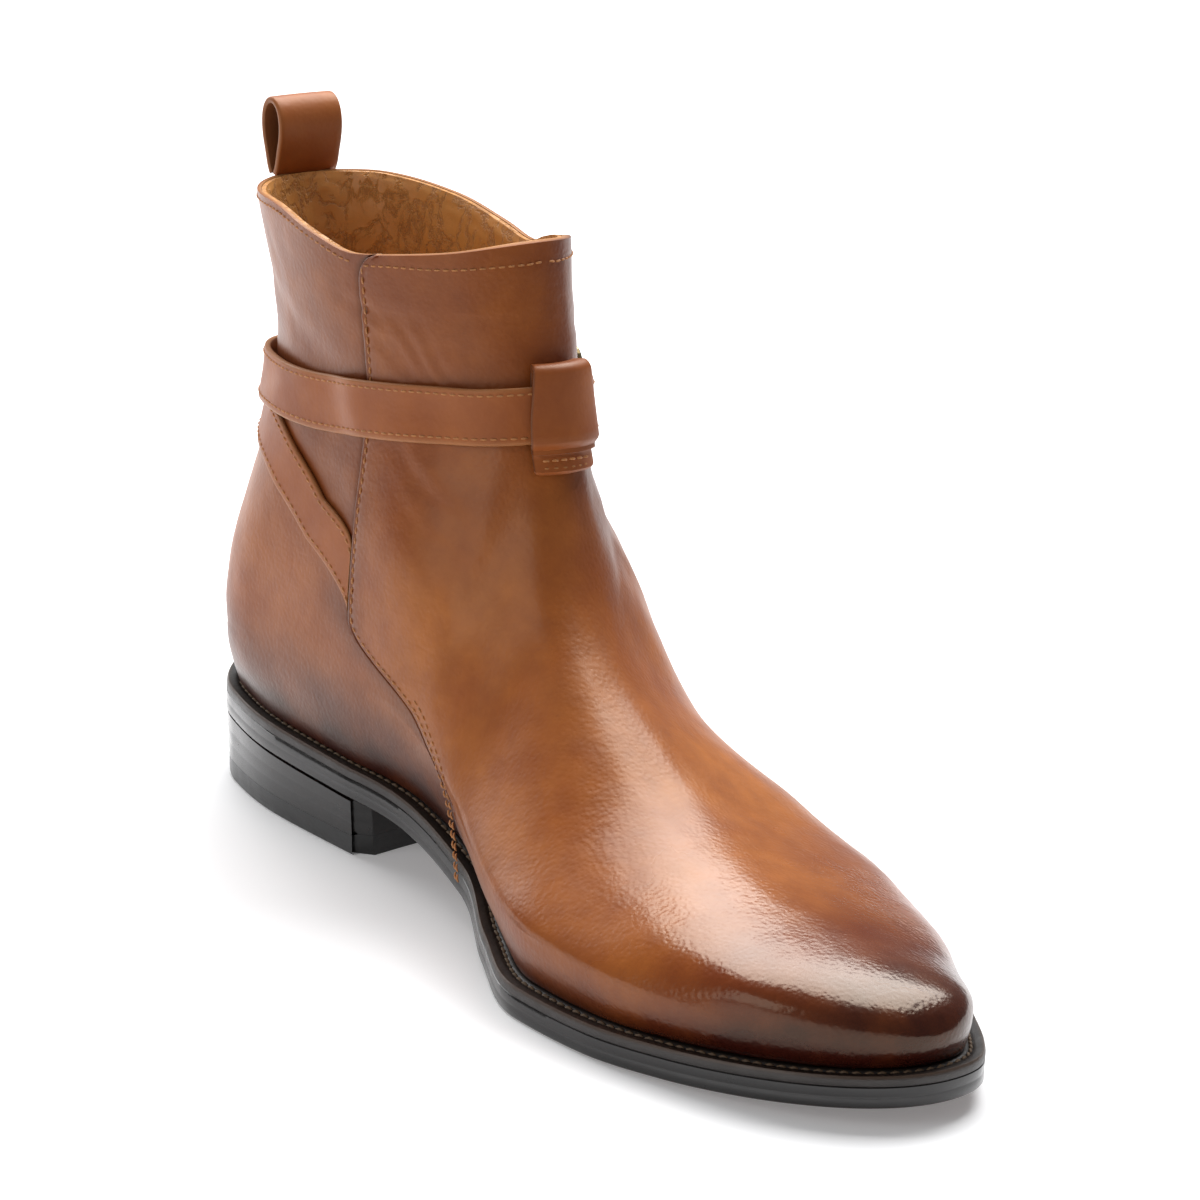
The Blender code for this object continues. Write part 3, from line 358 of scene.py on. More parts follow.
# Sections of welt, sole and top lift, from edge to edge: depth below the welt's top, or height above a bottom
Band = namedtuple("Band", "inset level worn")
WELT_BANDS = (
    Band(0.3 * EDGE_ROUND, WELT_THICKNESS - JOINT, 0.0),
    Band(0.0, WELT_THICKNESS - JOINT - 0.3 * EDGE_ROUND, 0.0),
    Band(0.0, 0.0010, 0.1),
    Band(0.0001, 0.0005, 0.6),
    Band(0.0004, 0.0001, 0.8),
    Band(0.0008, 0.0, 0.2),
    Band(0.0014, 0.0, 0.0),
    Band(0.0022, 0.0, 0.0),
    Band(0.0029, 0.0001, 0.0),
    Band(0.0033, 0.0005, 0.0),
    Band(0.0039, 0.0005, 0.0),
    Band(0.0043, 0.0001, 0.0),
    Band(0.0050, 0.0, 0.0),
    Band(0.0062, 0.0, 0.0),
    Band(WELT_WIDTH, 0.0, 0.0),
    Band(WELT_WIDTH, WELT_THICKNESS - JOINT, 0.0),
)
SOLE_BANDS = (
    Band(2.6 * EDGE_ROUND, 0.0, 1.0),
    Band(1.2 * EDGE_ROUND, 0.00012, 0.8),
    Band(0.4 * EDGE_ROUND, 0.45 * EDGE_ROUND, 0.2),
    Band(0.0, EDGE_ROUND, 0.0),
    Band(0.0, 0.0029, 0.0),
    Band(GROOVE, 0.0031, 0.0),
    Band(0.0, 0.0033, 0.0),
    Band(0.0, SOLE_THICKNESS - 0.3 * EDGE_ROUND, 0.0),
    Band(0.3 * EDGE_ROUND, SOLE_THICKNESS, 0.0),
)
LIFT_BANDS = (
    Band(HEEL_TAPER + EDGE_ROUND, 0.0, 1.0),
    Band(HEEL_TAPER + 0.3 * EDGE_ROUND, 0.3 * EDGE_ROUND, 0.5),
    Band(HEEL_TAPER, EDGE_ROUND, 0.0),
    Band(HEEL_TAPER * 0.75, LIFT_THICKNESS, 0.0),
)
STACK_LINES = (0.33, 0.66)
LINE_REACH = 0.03

# Offsets of the fine columns beside the seam, and how far each is raised
Lip = namedtuple("Lip", "offset raised")
LIPS_BEHIND = (
    Lip(-0.0060, 0.0),
    Lip(-0.0028, 0.0),
    Lip(-0.0014, -0.10),
    Lip(-0.0006, -0.30),
    Lip(-0.0001, -0.42),
)
LIPS_AHEAD = (
    Lip(0.00005, 0.55),
    Lip(0.0003, 0.95),
    Lip(0.0008, 1.12),
    Lip(0.0013, 1.06),
    Lip(0.0018, 0.88),
    Lip(0.0023, 1.00),
    Lip(0.0034, 1.08),
    Lip(0.0060, 1.00),
)
SEAM_COLUMN = FINE_REAR + len(LIPS_BEHIND)

# Soft creases: place by station and height above the seat, size, lean in degrees and depth
Crease = namedtuple("Crease", "side station rise length width lean depth")
CREASES = (
    Crease(-1, 0.335, 0.900, 0.022, 0.0014, 6, 0.00042),
    Crease(-1, 0.345, 0.868, 0.026, 0.0014, -5, 0.00040),
    Crease(-1, 0.330, 0.838, 0.018, 0.0013, 10, 0.00024),
    Crease(-1, 0.312, 0.800, 0.013, 0.0011, -34, 0.00062),
    Crease(-1, 0.330, 0.792, 0.014, 0.0011, -40, 0.00068),
    Crease(-1, 0.348, 0.786, 0.014, 0.0012, -46, 0.00062),
    Crease(-1, 0.366, 0.784, 0.012, 0.0011, -52, 0.00052),
    Crease(-1, 0.370, 0.580, 0.015, 0.0013, -24, 0.00060),
    Crease(-1, 0.378, 0.555, 0.016, 0.0014, -30, 0.00060),
    Crease(-1, 0.388, 0.528, 0.015, 0.0014, -34, 0.00050),
    Crease(-1, 0.395, 0.470, 0.026, 0.0045, -42, 0.00040),
    Crease(1, 0.370, 0.560, 0.020, 0.0016, -26, 0.00045),
    Crease(1, 0.388, 0.520, 0.022, 0.0018, -34, 0.00045),
    Crease(1, 0.400, 0.470, 0.030, 0.0045, -40, 0.00050),
    Crease(1, 0.340, 0.880, 0.026, 0.0018, 10, 0.00035),
    Crease(1, 0.345, 0.800, 0.018, 0.0013, -30, 0.00040),
    Crease(-1, 0.110, 0.620, 0.040, 0.0045, 4, 0.00050),
    Crease(1, 0.110, 0.600, 0.040, 0.0045, 2, 0.00060),
    Crease(-1, 0.120, 0.900, 0.012, 0.0011, -62, 0.00026),
    Crease(-1, 0.140, 0.850, 0.014, 0.0012, -66, 0.00026),
    Crease(-1, 0.185, 0.780, 0.034, 0.0036, -14, 0.00040),
    Crease(1, 0.170, 0.840, 0.036, 0.0034, -8, 0.00050),
    Crease(-1, 0.620, 0.150, 0.036, 0.0070, -18, 0.00035),
    Crease(-1, 0.680, 0.090, 0.040, 0.0080, -26, 0.00035),
    Crease(1, 0.640, 0.150, 0.038, 0.0075, -20, 0.00050),
    Crease(1, 0.700, 0.090, 0.040, 0.0080, -24, 0.00045),
)

CAMERA_PLACE = (1.2635, -0.8130, 0.5400)
CAMERA_TARGET = (0.0945, 0.0092, 0.0792)
CAMERA_ROLL = 3.2
CAMERA_LENS = 180.0


def ramp(value, start, end):
    share = min(max((value - start) / (end - start), 0.0), 1.0)
    return share * share * (3.0 - 2.0 * share)


def through(knots, values, at):
    """A smooth curve through the values that doesn't overshoot them."""
    last = len(knots) - 1
    if at <= knots[0]:
        return values[0]
    if at >= knots[last]:
        return values[last]
    slopes = [(values[i + 1] - values[i]) / (knots[i + 1] - knots[i]) for i in range(last)]

    def tangent(i):
        if i in (0, last):
            return slopes[min(i, last - 1)]
        before, after = slopes[i - 1], slopes[i]
        return 0.0 if before * after <= 0.0 else 2.0 * before * after / (before + after)

    i = max(k for k in range(last) if knots[k] <= at)
    span = knots[i + 1] - knots[i]
    t = (at - knots[i]) / span
    start, end = tangent(i) * span, tangent(i + 1) * span
    rise = 3.0 * t**2 - 2.0 * t**3
    return (
        values[i] * (1.0 - rise)
        + values[i + 1] * rise
        + start * (t**3 - 2.0 * t**2 + t)
        + end * (t**3 - t**2)
    )


def column(rows, name):
    return [getattr(row, name) for row in rows]


def half_turn(share):
    """Stations spread so that an outline is round at both ends."""
    return math.acos(1.0 - 2.0 * min(max(share, 0.0), 1.0)) / math.pi


def half_width(rows, station, side):
    first, last = rows[0].station, rows[-1].station
    knots = [half_turn((row.station - first) / (last - first)) for row in rows]
    halves = [row.across * (row.lateral if side > 0 else row.medial) for row in rows]
    return through(knots, halves, half_turn((station - first) / (last - first)))


def sole_bottom(x):
    seat = HEEL_HEIGHT - HEEL_SLOPE * min(max(x, 0.0), HEEL_LENGTH)
    fall = 1.0 - ramp(x, HEEL_LENGTH, TREAD_START * SOLE_LENGTH)
    start = SPRING_START * SOLE_LENGTH
    toe = max(x - start, 0.0) / (SOLE_LENGTH - start)
    return seat * fall + TOE_SPRING * toe**1.7


def sole_top(x):
    return sole_bottom(x) + SOLE_THICKNESS + WELT_THICKNESS


def outline_point(share, side, inset):
    """A point of the sole's outline, moved inwards; share runs from heel to toe."""
    points = []
    for at in (share - SHARE_STEP, share, share + SHARE_STEP):
        way = side
        if at < 0.0 or at > 1.0:
            way = -side
            at = -at if at < 0.0 else 2.0 - at
        station = 0.5 - 0.5 * math.cos(math.pi * at)
        points.append(Vector((station * SOLE_LENGTH, way * half_width(SOLE_OUTLINE, station, way), 0.0)))
    along = (points[2] - points[0]).normalized()
    inward = Vector((side * along.y, -side * along.x, 0.0))
    point = points[1] + inward * inset
    if share <= 0.0 or share >= 1.0:
        point.y = 0.0
    return point


def level_at(x):
    level = through(column(WIDEST, "station"), column(WIDEST, "level"), x / SOLE_LENGTH)
    return sole_top(x) + SIDE_LEVEL * level


def front_points():
    return [
        (row.station * SOLE_LENGTH, sole_top(row.station * SOLE_LENGTH) + row.of * row.rise)
        for row in FRONT_LINE
    ]


def back_points():
    return [(row.station * SOLE_LENGTH, SEAT + COLLAR_RISE * row.rise) for row in BACK_LINE]


FRONT = front_points()
BACK = back_points()
FRONT_XS = [point[0] for point in FRONT]
FRONT_ZS = [point[1] for point in FRONT]
BACK_XS = [point[0] for point in BACK]
BACK_ZS = [point[1] for point in BACK]


def front_z(x):
    if x < FRONT_XS[-1]:
        return FRONT_ZS[-1] + (FRONT_XS[-1] - x) * 6.0
    return through(FRONT_XS[::-1], FRONT_ZS[::-1], x)


def front_x(z):
    return through(FRONT_ZS, FRONT_XS, z)


def back_x(z):
    return through(BACK_ZS, BACK_XS, z)


def along_line(points, share):
    """The point at a share of the way along a line, by its length."""
    marks = [0.0]
    for start, end in zip(points, points[1:]):
        marks.append(marks[-1] + math.dist(start, end))
    at = share * marks[-1]
    return (
        through(marks, [point[0] for point in points], at),
        through(marks, [point[1] for point in points], at),
    )


def upper_half(x, z, side):
    """Half width of the upper, to the inner or outer side, at a point of its side view."""
    level = level_at(x)
    crest = max(front_z(x), level + 1e-6)
    t = min(max((z - level) / (crest - level), 0.0), 1.0)
    station = x / SOLE_LENGTH
    power = through(column(FORMS, "station"), column(FORMS, "side"), station)
    crown = through(column(FORMS, "station"), column(FORMS, "crown"), station)
    foot = math.sqrt(max(1.0 - t**power, 0.0)) * (1.0 + t**power) ** crown
    height = (z - SEAT) / COLLAR_RISE
    shaft_share = max(ramp(height, 0.25, 0.64), 1.0 - ramp(station, 0.20, 0.43))
    girths = column(SHAFT_GIRTHS, "lateral" if side > 0 else "medial")
    girth = SHAFT_WIDTH * through(column(SHAFT_GIRTHS, "rise"), girths, height)
    width = half_width(WIDEST, station, side) * (1.0 - shaft_share) + girth * shaft_share
    front, back = front_x(z), back_x(z)
    radius = max(0.5 * (front - back), 1e-6)
    near_front = min(max((front - x) / radius, 0.0), 1.0)
    shaft = math.sqrt(max(1.0 - (1.0 - near_front) ** 1.7, 0.0))
    high = ramp(height, 0.40, 0.83)
    closing = foot * (1.0 - high) + shaft * high
    round_off = BACK_ROUND + (min(radius, 0.060) - BACK_ROUND) * ramp(height, 0.25, 0.80)
    near_back = min(max((x - back) / round_off, 0.0), 1.0)
    return width * closing * math.sqrt(max(1.0 - (1.0 - near_back) ** 2.15, 0.0))


def ridge_y(x, z):
    """The crest of the instep lies a little to the inner side."""
    station = x / SOLE_LENGTH
    level = level_at(x)
    t = min(max((z - level) / max(front_z(x) - level, 1e-6), 0.0), 1.0)
    along = ramp(station, 0.42, 0.55) * (1.0 - ramp(station, 0.88, 0.985))
    return -RIDGE_SHIFT * along * ramp(t, 0.0, 1.0)


def seam_x(z, side):
    name = "lateral" if side > 0 else "medial"
    rise = (z - SEAT) / COLLAR_RISE
    return SOLE_LENGTH * through(column(SEAM_LINE, "rise"), column(SEAM_LINE, name), rise)


def corner(below):
    """How far the flap's rounded top corner pulls its edge forward, at a depth below the rim."""
    t = 1.0 - below / CORNER_ROUND
    return CORNER_ROUND * (1.0 - math.sqrt(max(1.0 - t * t, 0.0))) if t > 0.0 else 0.0


def ring_side(share, side):
    """One half ring of the upper above its widest line, from the back to the front."""
    back = along_line(BACK, share)
    front = along_line(FRONT, share**1.4)
    front = (front[0], min(front[1], front_z(front[0])))
    top = ramp(share, 0.70, 1.0)
    lift = ramp(share, 0.0, 0.35)
    marks = column(RIM_LINE, "along")
    crests = column(RIM_LINE, "lateral" if side > 0 else "medial")

    def height(x):
        s = (x - back[0]) / (front[0] - back[0])
        eased = s + RING_EASE * (1.0 - top) * s * (1.0 - s)
        straight = back[1] + (front[1] - back[1]) * eased ** (1.0 + 3.0 * top)
        straight += COLLAR_RISE * top * through(marks, crests, s)
        low = (
            level_at(x)
            + (back[1] - level_at(back[0])) * (1.0 - eased)
            + (front[1] - level_at(front[0])) * eased
        )
        return min(straight * lift + low * (1.0 - lift), front_z(x))

    seam = seam_x(back[1], side)
    for _ in range(12):
        seam = 0.5 * (seam + min(seam_x(height(seam), side), front[0] - TOE_CLEAR))
    seam += corner((1.0 - share) * RING_REACH)
    found = [
        (Vector((x, side * upper_half(x, height(x), side) + ridge_y(x, height(x)), height(x))), raised)
        for x, raised in fine_spread(back[0], seam, front[0])
    ]
    crest = found[-1][0]
    crest.y = ridge_y(crest.x, crest.z)
    return found


def low_side(share, side):
    """One half ring between the welt and the widest line."""
    first = WIDEST[0].station * SOLE_LENGTH
    last = WIDEST[-1].station * SOLE_LENGTH
    seam = seam_x(SEAT - WELT_THICKNESS, side)
    bulge = math.sin(0.5 * math.pi * share)
    found = []
    for x, raised in fine_spread(first, seam, last):
        across = half_turn((x - first) / (last - first))
        inset = HEEL_INSET + (TOE_INSET - HEEL_INSET) * ramp(across, 0.35, 0.55)
        foot = outline_point(across, side, inset)
        wide = Vector((x, side * upper_half(x, level_at(x), side), 0.0))
        point = foot.lerp(wide, bulge)
        bottom = sole_top(point.x) + FOOT_GAP
        point.z = bottom + (level_at(point.x) - bottom) * share
        found.append((point, raised))
    return found


def grid_normals(rows):
    """Outward normals of a closed ring grid."""
    count = len(rows[0])
    found = []
    for j, row in enumerate(rows):
        above, below = rows[min(j + 1, len(rows) - 1)], rows[max(j - 1, 0)]
        found.append([
            (above[i] - below[i]).cross(row[(i + 1) % count] - row[i - 1]).normalized()
            for i in range(count)
        ])
    for _ in range(2):
        found = [smoothed(found, j) for j in range(len(found))]
    return found


def smoothed(normals, j):
    """One ring of normals, each drawn towards its neighbours, because those at the crest lie very close."""
    row = normals[j]
    above, below = normals[min(j + 1, len(normals) - 1)], normals[max(j - 1, 0)]
    count = len(row)
    found = []
    for i in range(count):
        total = row[i - 2] + row[i - 1] + row[i] + row[(i + 1) % count] + row[(i + 2) % count]
        found.append((total + above[i] + below[i]).normalized())
    return found


def sole_ring(inset, height, count):
    """A ring of the sole's outline; height is a function of the station's x."""
    lateral = [outline_point(i / count, 1, inset) for i in range(count + 1)]
    medial = [outline_point(i / count, -1, inset) for i in range(1, count)]
    ring = lateral + medial[::-1]
    for point in ring:
        point.z = height(point.x)
    return ring


def heel_ring(inset, height):
    """A ring of the heel: round at the back, hollow and slightly askew at the breast."""
    sides = []
    for side in (1, -1):
        line = []
        end = half_turn(HEEL_LENGTH / SOLE_LENGTH)
        for i in range(HEEL_STEPS + 1):
            point = outline_point(end * i / HEEL_STEPS, side, inset)
            stretch = 1.0 + BREAST_SKEW * point.y / HEEL_LENGTH
            line.append(Vector((point.x * stretch, point.y, 0.0)))
        sides.append(line)
    lateral, medial = sides
    corner = medial[-1]
    medial[-1] = corner + Vector((-CORNER_CUT, 0.0, 0.0))
    inner_end = corner + Vector((0.0, CORNER_CUT, 0.0))
    breast = []
    for i in range(1, BREAST_STEPS):
        t = i / BREAST_STEPS
        point = lateral[-1].lerp(inner_end, t)
        point.x -= BREAST_HOLLOW * math.sin(math.pi * t)
        breast.append(point)
    ring = lateral + breast + [inner_end] + medial[:0:-1]
    for point in ring:
        point.z = height(point.x)
    return ring


def shaft_point(turn, z):
    """A point of the shaft by its turn: 0 at the back, 1 at the front, minus on the inner side."""
    turn = (turn + 1.0) % 2.0 - 1.0
    side = 1 if turn >= 0.0 else -1
    back, front = back_x(z), front_x(z)
    x = back + (front - back) * (0.5 - 0.5 * math.cos(math.pi * abs(turn)))
    return Vector((x, side * upper_half(x, z, side) + ridge_y(x, z), z))


def shaft_frame(turn, z):
    """Point, outward normal and the level direction of rising turn."""
    point = shaft_point(turn, z)
    along = shaft_point(turn + TURN_STEP, z) - shaft_point(turn - TURN_STEP, z)
    up = shaft_point(turn, z + RISE_STEP) - shaft_point(turn, z - RISE_STEP)
    normal = up.cross(along).normalized()
    if normal.dot(point - Vector((0.5 * (back_x(z) + front_x(z)), 0.0, z))) < 0.0:
        normal = -normal
    return point, normal, along.normalized()


def buckle_frame_axes():
    """Where the buckle sits: its centre on the shaft, forward, up and outward."""
    z = SEAT + COLLAR_RISE * BUCKLE_RISE
    point, normal, along = shaft_frame(BUCKLE_TURN, z)
    forward = along + Vector((0.0, 0.0, FRAME_TILT))
    forward = (forward - normal * forward.dot(normal)).normalized()
    up = normal.cross(forward).normalized()
    if up.z < 0.0:
        up = -up
    return point, forward, up, normal


def local(t, w, n):
    """A point beside the buckle: along the strap, across it and out from the shaft."""
    origin, forward, up, normal = buckle_frame_axes()
    return origin + forward * t + up * w + normal * n


# Heights of the pieces of the buckle above the shaft
UNDER_MID = 2.0 * GAP + UNDER_THICKNESS / 2.0
BAR_OUT = UNDER_MID + UNDER_THICKNESS / 2.0 + GAP + BAR_RADIUS
FOLD_RADIUS = BAR_RADIUS + GAP + UNDER_THICKNESS / 2.0
OVER_BAR = BAR_OUT + FOLD_RADIUS + UNDER_THICKNESS / 2.0 + GAP + STRAP_THICKNESS / 2.0
STRAP_OUT = OVER_BAR - STRAP_DROP

# Levels of the long strap beside the buckle, by place in half lengths of the frame
Run = namedtuple("Run", "place level")
STRAP_RUN = (
    Run(-2.60, STRAP_OUT - 0.5 * STRAP_DROP),
    Run(-1.90, STRAP_OUT),
    Run(-1.00, STRAP_OUT),
    Run(-0.45, OVER_BAR),
    Run(0.10, OVER_BAR),
    Run(1.00, STRAP_OUT),
    Run(1.35, STRAP_OUT - 0.5 * STRAP_DROP),
)


def front_frame(y, z):
    """The front of the flap at a distance from its middle: point and outward normal."""
    low, high = 0.70, 1.30
    for _ in range(24):
        middle = 0.5 * (low + high)
        if shaft_point(middle, z).y > y:
            low = middle
        else:
            high = middle
    point, normal, _ = shaft_frame(0.5 * (low + high), z)
    return point, normal


def keeper_lines():
    """The keeper's outer and inner profile, as heights and distances from the shaft."""
    bottom, top = SEAT + KEEPER_BOTTOM, SEAT + KEEPER_TOP
    low = FLAP_STEP + 2.0 * GAP
    under = low + KEEPER_LEG
    strap_face = under + 2.0 * GAP + STRAP_THICKNESS + 2.0 * KEEPER_PLAY
    crown = strap_face + KEEPER_THICKNESS
    foot = under + KEEPER_THICKNESS
    hem = bottom + 0.75 * KEEPER_HEM
    shoulder = bottom + 1.3 * KEEPER_HEM
    outer = [(bottom, low), (bottom, foot - 0.0004), (bottom + 0.0004, foot)]
    outer += [(bottom + (hem - bottom) * i / 4.0, foot) for i in range(1, 5)]
    for i in range(1, 6):
        outer.append((hem + (shoulder - hem) * i / 5.0, foot + (crown - foot) * ramp(i, 0.0, 5.0)))
    outer += [(shoulder + (top - KEEPER_ROUND - shoulder) * i / 8.0, crown) for i in range(1, 9)]
    for i in range(1, 9):
        angle = math.pi / 2.0 * i / 8.0
        z = top - KEEPER_ROUND * (1.0 - math.sin(angle))
        outer.append((z, crown - KEEPER_ROUND * (1.0 - math.cos(angle))))
    start = top - KEEPER_EDGE
    outer.append((top, low + KEEPER_EDGE))
    outer += [(start + (bottom - start) * i / 8.0, low) for i in range(8)]
    window_bottom, window_top = bottom + 0.8 * KEEPER_HEM, top - KEEPER_THICKNESS
    middle_z, middle_n = 0.5 * (window_bottom + window_top), 0.5 * (under + strap_face)
    half_z, half_n = 0.5 * (window_top - window_bottom), 0.5 * (strap_face - under)
    inner = []
    for z, n in outer:
        dz, dn = (z - middle_z) / half_z, (n - middle_n) / half_n
        size = max(abs(dz), abs(dn))
        inner.append((middle_z + half_z * dz / size, middle_n + half_n * dn / size))
    return outer, inner


def piece(name, mesh, material, slot, *nodes, smooth=50):
    """A visible piece: placed in the row's frame, riding on the boot and standing for CAD nodes."""
    mesh.transform(Matrix.Translation((-HEEL_CENTRE, 0.0, 0.0)))
    mesh.materials.append(material)
    mesh.shade_smooth()
    mesh.set_sharp_from_angle(angle=math.radians(smooth))
    made = bpy.data.objects.new(name, mesh)
    bpy.context.scene.collection.objects.link(made)
    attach(made, "root")
    if nodes:
        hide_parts(*nodes)
    return made


def paint(mesh, name, values):
    """A number for each point of the mesh, for its material."""
    layer = mesh.attributes.new(name, "FLOAT", "POINT")
    layer.data.foreach_set("value", values)


def rough_mesh(name, points, faces):
    """A mesh whose point order is kept, so that it can be painted."""
    mesh = bpy.data.meshes.new(name)
    mesh.from_pydata([tuple(point) for point in points], [], faces)
    mesh.validate()
    volume = 0.0
    for face in mesh.polygons:
        a = mesh.vertices[face.vertices[0]].co
        for i in range(1, len(face.vertices) - 1):
            b = mesh.vertices[face.vertices[i]].co
            c = mesh.vertices[face.vertices[i + 1]].co
            volume += a.dot(b.cross(c))
    if volume < 0.0:
        mesh.flip_normals()
    return mesh


def grid_faces(levels, count, closed_levels):
    faces = []
    for j in range(levels if closed_levels else levels - 1):
        for i in range(count):
            n = (i + 1) % count
            a, b = j * count, ((j + 1) % levels) * count
            faces.append((a + i, a + n, b + n, b + i))
    return faces


def ring_mesh(name, rings):
    """A mesh through rings of points that closes from the last ring to the first."""
    points = [point for ring in rings for point in ring]
    return rough_mesh(name, points, grid_faces(len(rings), len(rings[0]), True))


# The fine upper


def fine_spread(start, seam, end):
    """Stations from back to front with a crowd of them at the seam."""
    first, last = LIPS_BEHIND[0].offset, LIPS_AHEAD[-1].offset
    rear = [
        (start + (seam + first - start) * (1.0 - math.cos(0.5 * math.pi * i / FINE_REAR)), 0.0)
        for i in range(FINE_REAR)
    ]
    fore = [
        (seam + last + (end - seam - last) * math.sin(0.5 * math.pi * i / FINE_FRONT), 1.0)
        for i in range(1, FINE_FRONT + 1)
    ]
    middle = [(seam + lip.offset, lip.raised) for lip in LIPS_BEHIND + LIPS_AHEAD]
    return rear + middle + fore


def fine_rings():
    """Rings of the upper's outer face, fine enough to show its seam."""
    rings = []
    for j in range(FINE_LOW):
        halves = [low_side(j / FINE_LOW, side) for side in (1, -1)]
        rings.append(halves[0] + halves[1][-2:0:-1])
    shares = [j / FINE_HIGH for j in range(FINE_HIGH - RIM_ROWS)]
    start = 1.0 - RIM_ROWS / FINE_HIGH
    count = RIM_FINER * RIM_ROWS
    shares += [start + (1.0 - start) * k / count for k in range(count + 1)]
    for share in shares:
        halves = [ring_side(share, side) for side in (1, -1)]
        rings.append(halves[0] + halves[1][-2:0:-1])
    return rings


def crease_depth(point, side):
    """How far the leather sinks at a point, from the creases on that side."""
    depth = 0.0
    for crease in CREASES:
        if crease.side != side:
            continue
        fade = ramp(abs(point.y - ridge_y(point.x, point.z)), 0.0, 0.012)
        dx = point.x - crease.station * SOLE_LENGTH
        dz = point.z - (SEAT + COLLAR_RISE * crease.rise)
        lean = math.radians(crease.lean)
        along = (dx * math.cos(lean) + dz * math.sin(lean)) / crease.length
        across = (dz * math.cos(lean) - dx * math.sin(lean)) / crease.width
        across += 0.6 * math.sin(2.6 * along + 40.0 * crease.station)
        if abs(along) < 2.0 and abs(across) < 4.0:
            trough = math.exp(-(across**2)) - 0.35 * math.exp(-((abs(across) - 1.9) ** 2))
            depth += crease.depth * trough * math.exp(-(along**2)) * fade
    return depth


def crest_depth(point):
    """How much the leather flattens the crest of the instep."""
    station = point.x / SOLE_LENGTH
    beside = (point.y - ridge_y(point.x, point.z)) / CREST_WIDTH
    top = 1.0 - ramp(front_z(point.x) - point.z, 0.002, 0.012)
    return (
        CREST_SINK * math.exp(-(beside**2)) * top
        * ramp(station, 0.37, 0.45) * (1.0 - ramp(station, 0.60, 0.78))
    )


def burnish_and_shade_at(point, seam):
    """How dark, how red and how polished the leather is at a point, each from 0 to 1: the toe's burnish, a
    darker and redder counter, waist and seam, and painted shade low by the welt, in a thin line behind the
    flap's edge and on the outer side of the shaft.
    """
    station = point.x / SOLE_LENGTH
    rise = (point.z - SEAT) / COLLAR_RISE
    above = point.z - sole_top(point.x)
    toe = ramp(station + 0.07 * (1.0 - ramp(above, 0.0, 0.026)), 0.84, 1.00)
    # Partly burnish and partly painted shade: the upper darkens over its lowest 13 mm, where it curls under
    # to the welt.
    low = 1.0 - ramp(above, 0.000, 0.013)
    foot = 1.0 - ramp(above, 0.002, 0.034)
    offset = point.x - seam
    behind = math.exp(-((offset / (0.0150 if offset < 0.0 else 0.0050)) ** 2))
    # Painted shadow: a thin dark line just behind the flap's edge, where the raised flap would shade the
    # leather.
    line = math.exp(-(((offset + 0.0005) / 0.0009) ** 2))
    shaft = ramp(rise, 0.30, 0.60)
    counter = (1.0 - ramp(station, 0.30, 0.52)) * foot
    # Painted shade: the outer side of the shaft and quarter is darkened and reddened, standing in for the
    # shadow on that side.
    outer = ramp(point.y, -0.006, 0.014) * ramp(station, 0.26, 0.36) * ramp(rise, 0.25, 0.65)
    waist = foot * math.exp(-(((station - 0.42) / 0.14) ** 2))
    dark = 0.95 * toe**1.4 + 0.66 * low + 0.56 * counter + 0.34 * waist + 0.26 * behind * (1.0 - shaft)
    dark += 0.80 * line + 0.42 * outer + 0.10 * shaft * (1.0 - ramp(station, 0.20, 0.34))
    red = 1.1 * ramp(station, 0.76, 0.92) + 0.80 * foot + 0.62 * behind * (1.0 - 0.6 * shaft)
    red = red + 0.5 * counter + 0.8 * outer + line
    red += 0.42 * shaft + 0.25 * (1.0 - ramp(station, 0.28, 0.46))
    return min(dark, 1.0), min(red, 1.0), ramp(station, 0.50, 0.86) + 0.35 * counter


def build_upper(leather, lining):
    rings = fine_rings()
    plain = [[point for point, _ in ring] for ring in rings]
    normals = grid_normals(plain)
    count = len(plain[0])
    half = count // 2 + 1
    outer, shades = [], []
    for ring, row in zip(rings, normals):
        line = []
        lateral_seam = ring[SEAM_COLUMN][0].x
        medial_seam = ring[count - SEAM_COLUMN][0].x
        for i, ((point, raised), normal) in enumerate(zip(ring, row)):
            side = 1 if i < half else -1
            sink = crease_depth(point, side) + crest_depth(point)
            waves = sum(wave.height * noise.noise(point * wave.scale) for wave in WAVES)
            line.append(point + normal * (FLAP_STEP * raised - sink + waves * ramp(raised, -1.0, 0.0)))
            shades.append(burnish_and_shade_at(point, lateral_seam if side > 0 else medial_seam))
        outer.append(line)
    back = [[point - normal * SKIN for point, normal in zip(ring, row)] for ring, row in zip(plain, normals)]
    for over, under in ((outer[0], back[0]), (outer[-1], back[-1])):
        for above, below in zip(over, under):
            above.z = max(above.z, sole_top(above.x) + GAP)
            below.z = above.z
    mesh = ring_mesh("upper_leather", outer + back[::-1])
    plain_side = [0.0] * len(shades)
    for name, values in zip(("dark", "red", "shine"), zip(*shades)):
        paint(mesh, name, list(values) + plain_side)
    paint(mesh, "edge", plain_side + [1.0] * len(shades))
    piece("upper_leather", mesh, leather, "upper_leather", "upper", smooth=60)
    build_lining(plain, normals, outer, lining)


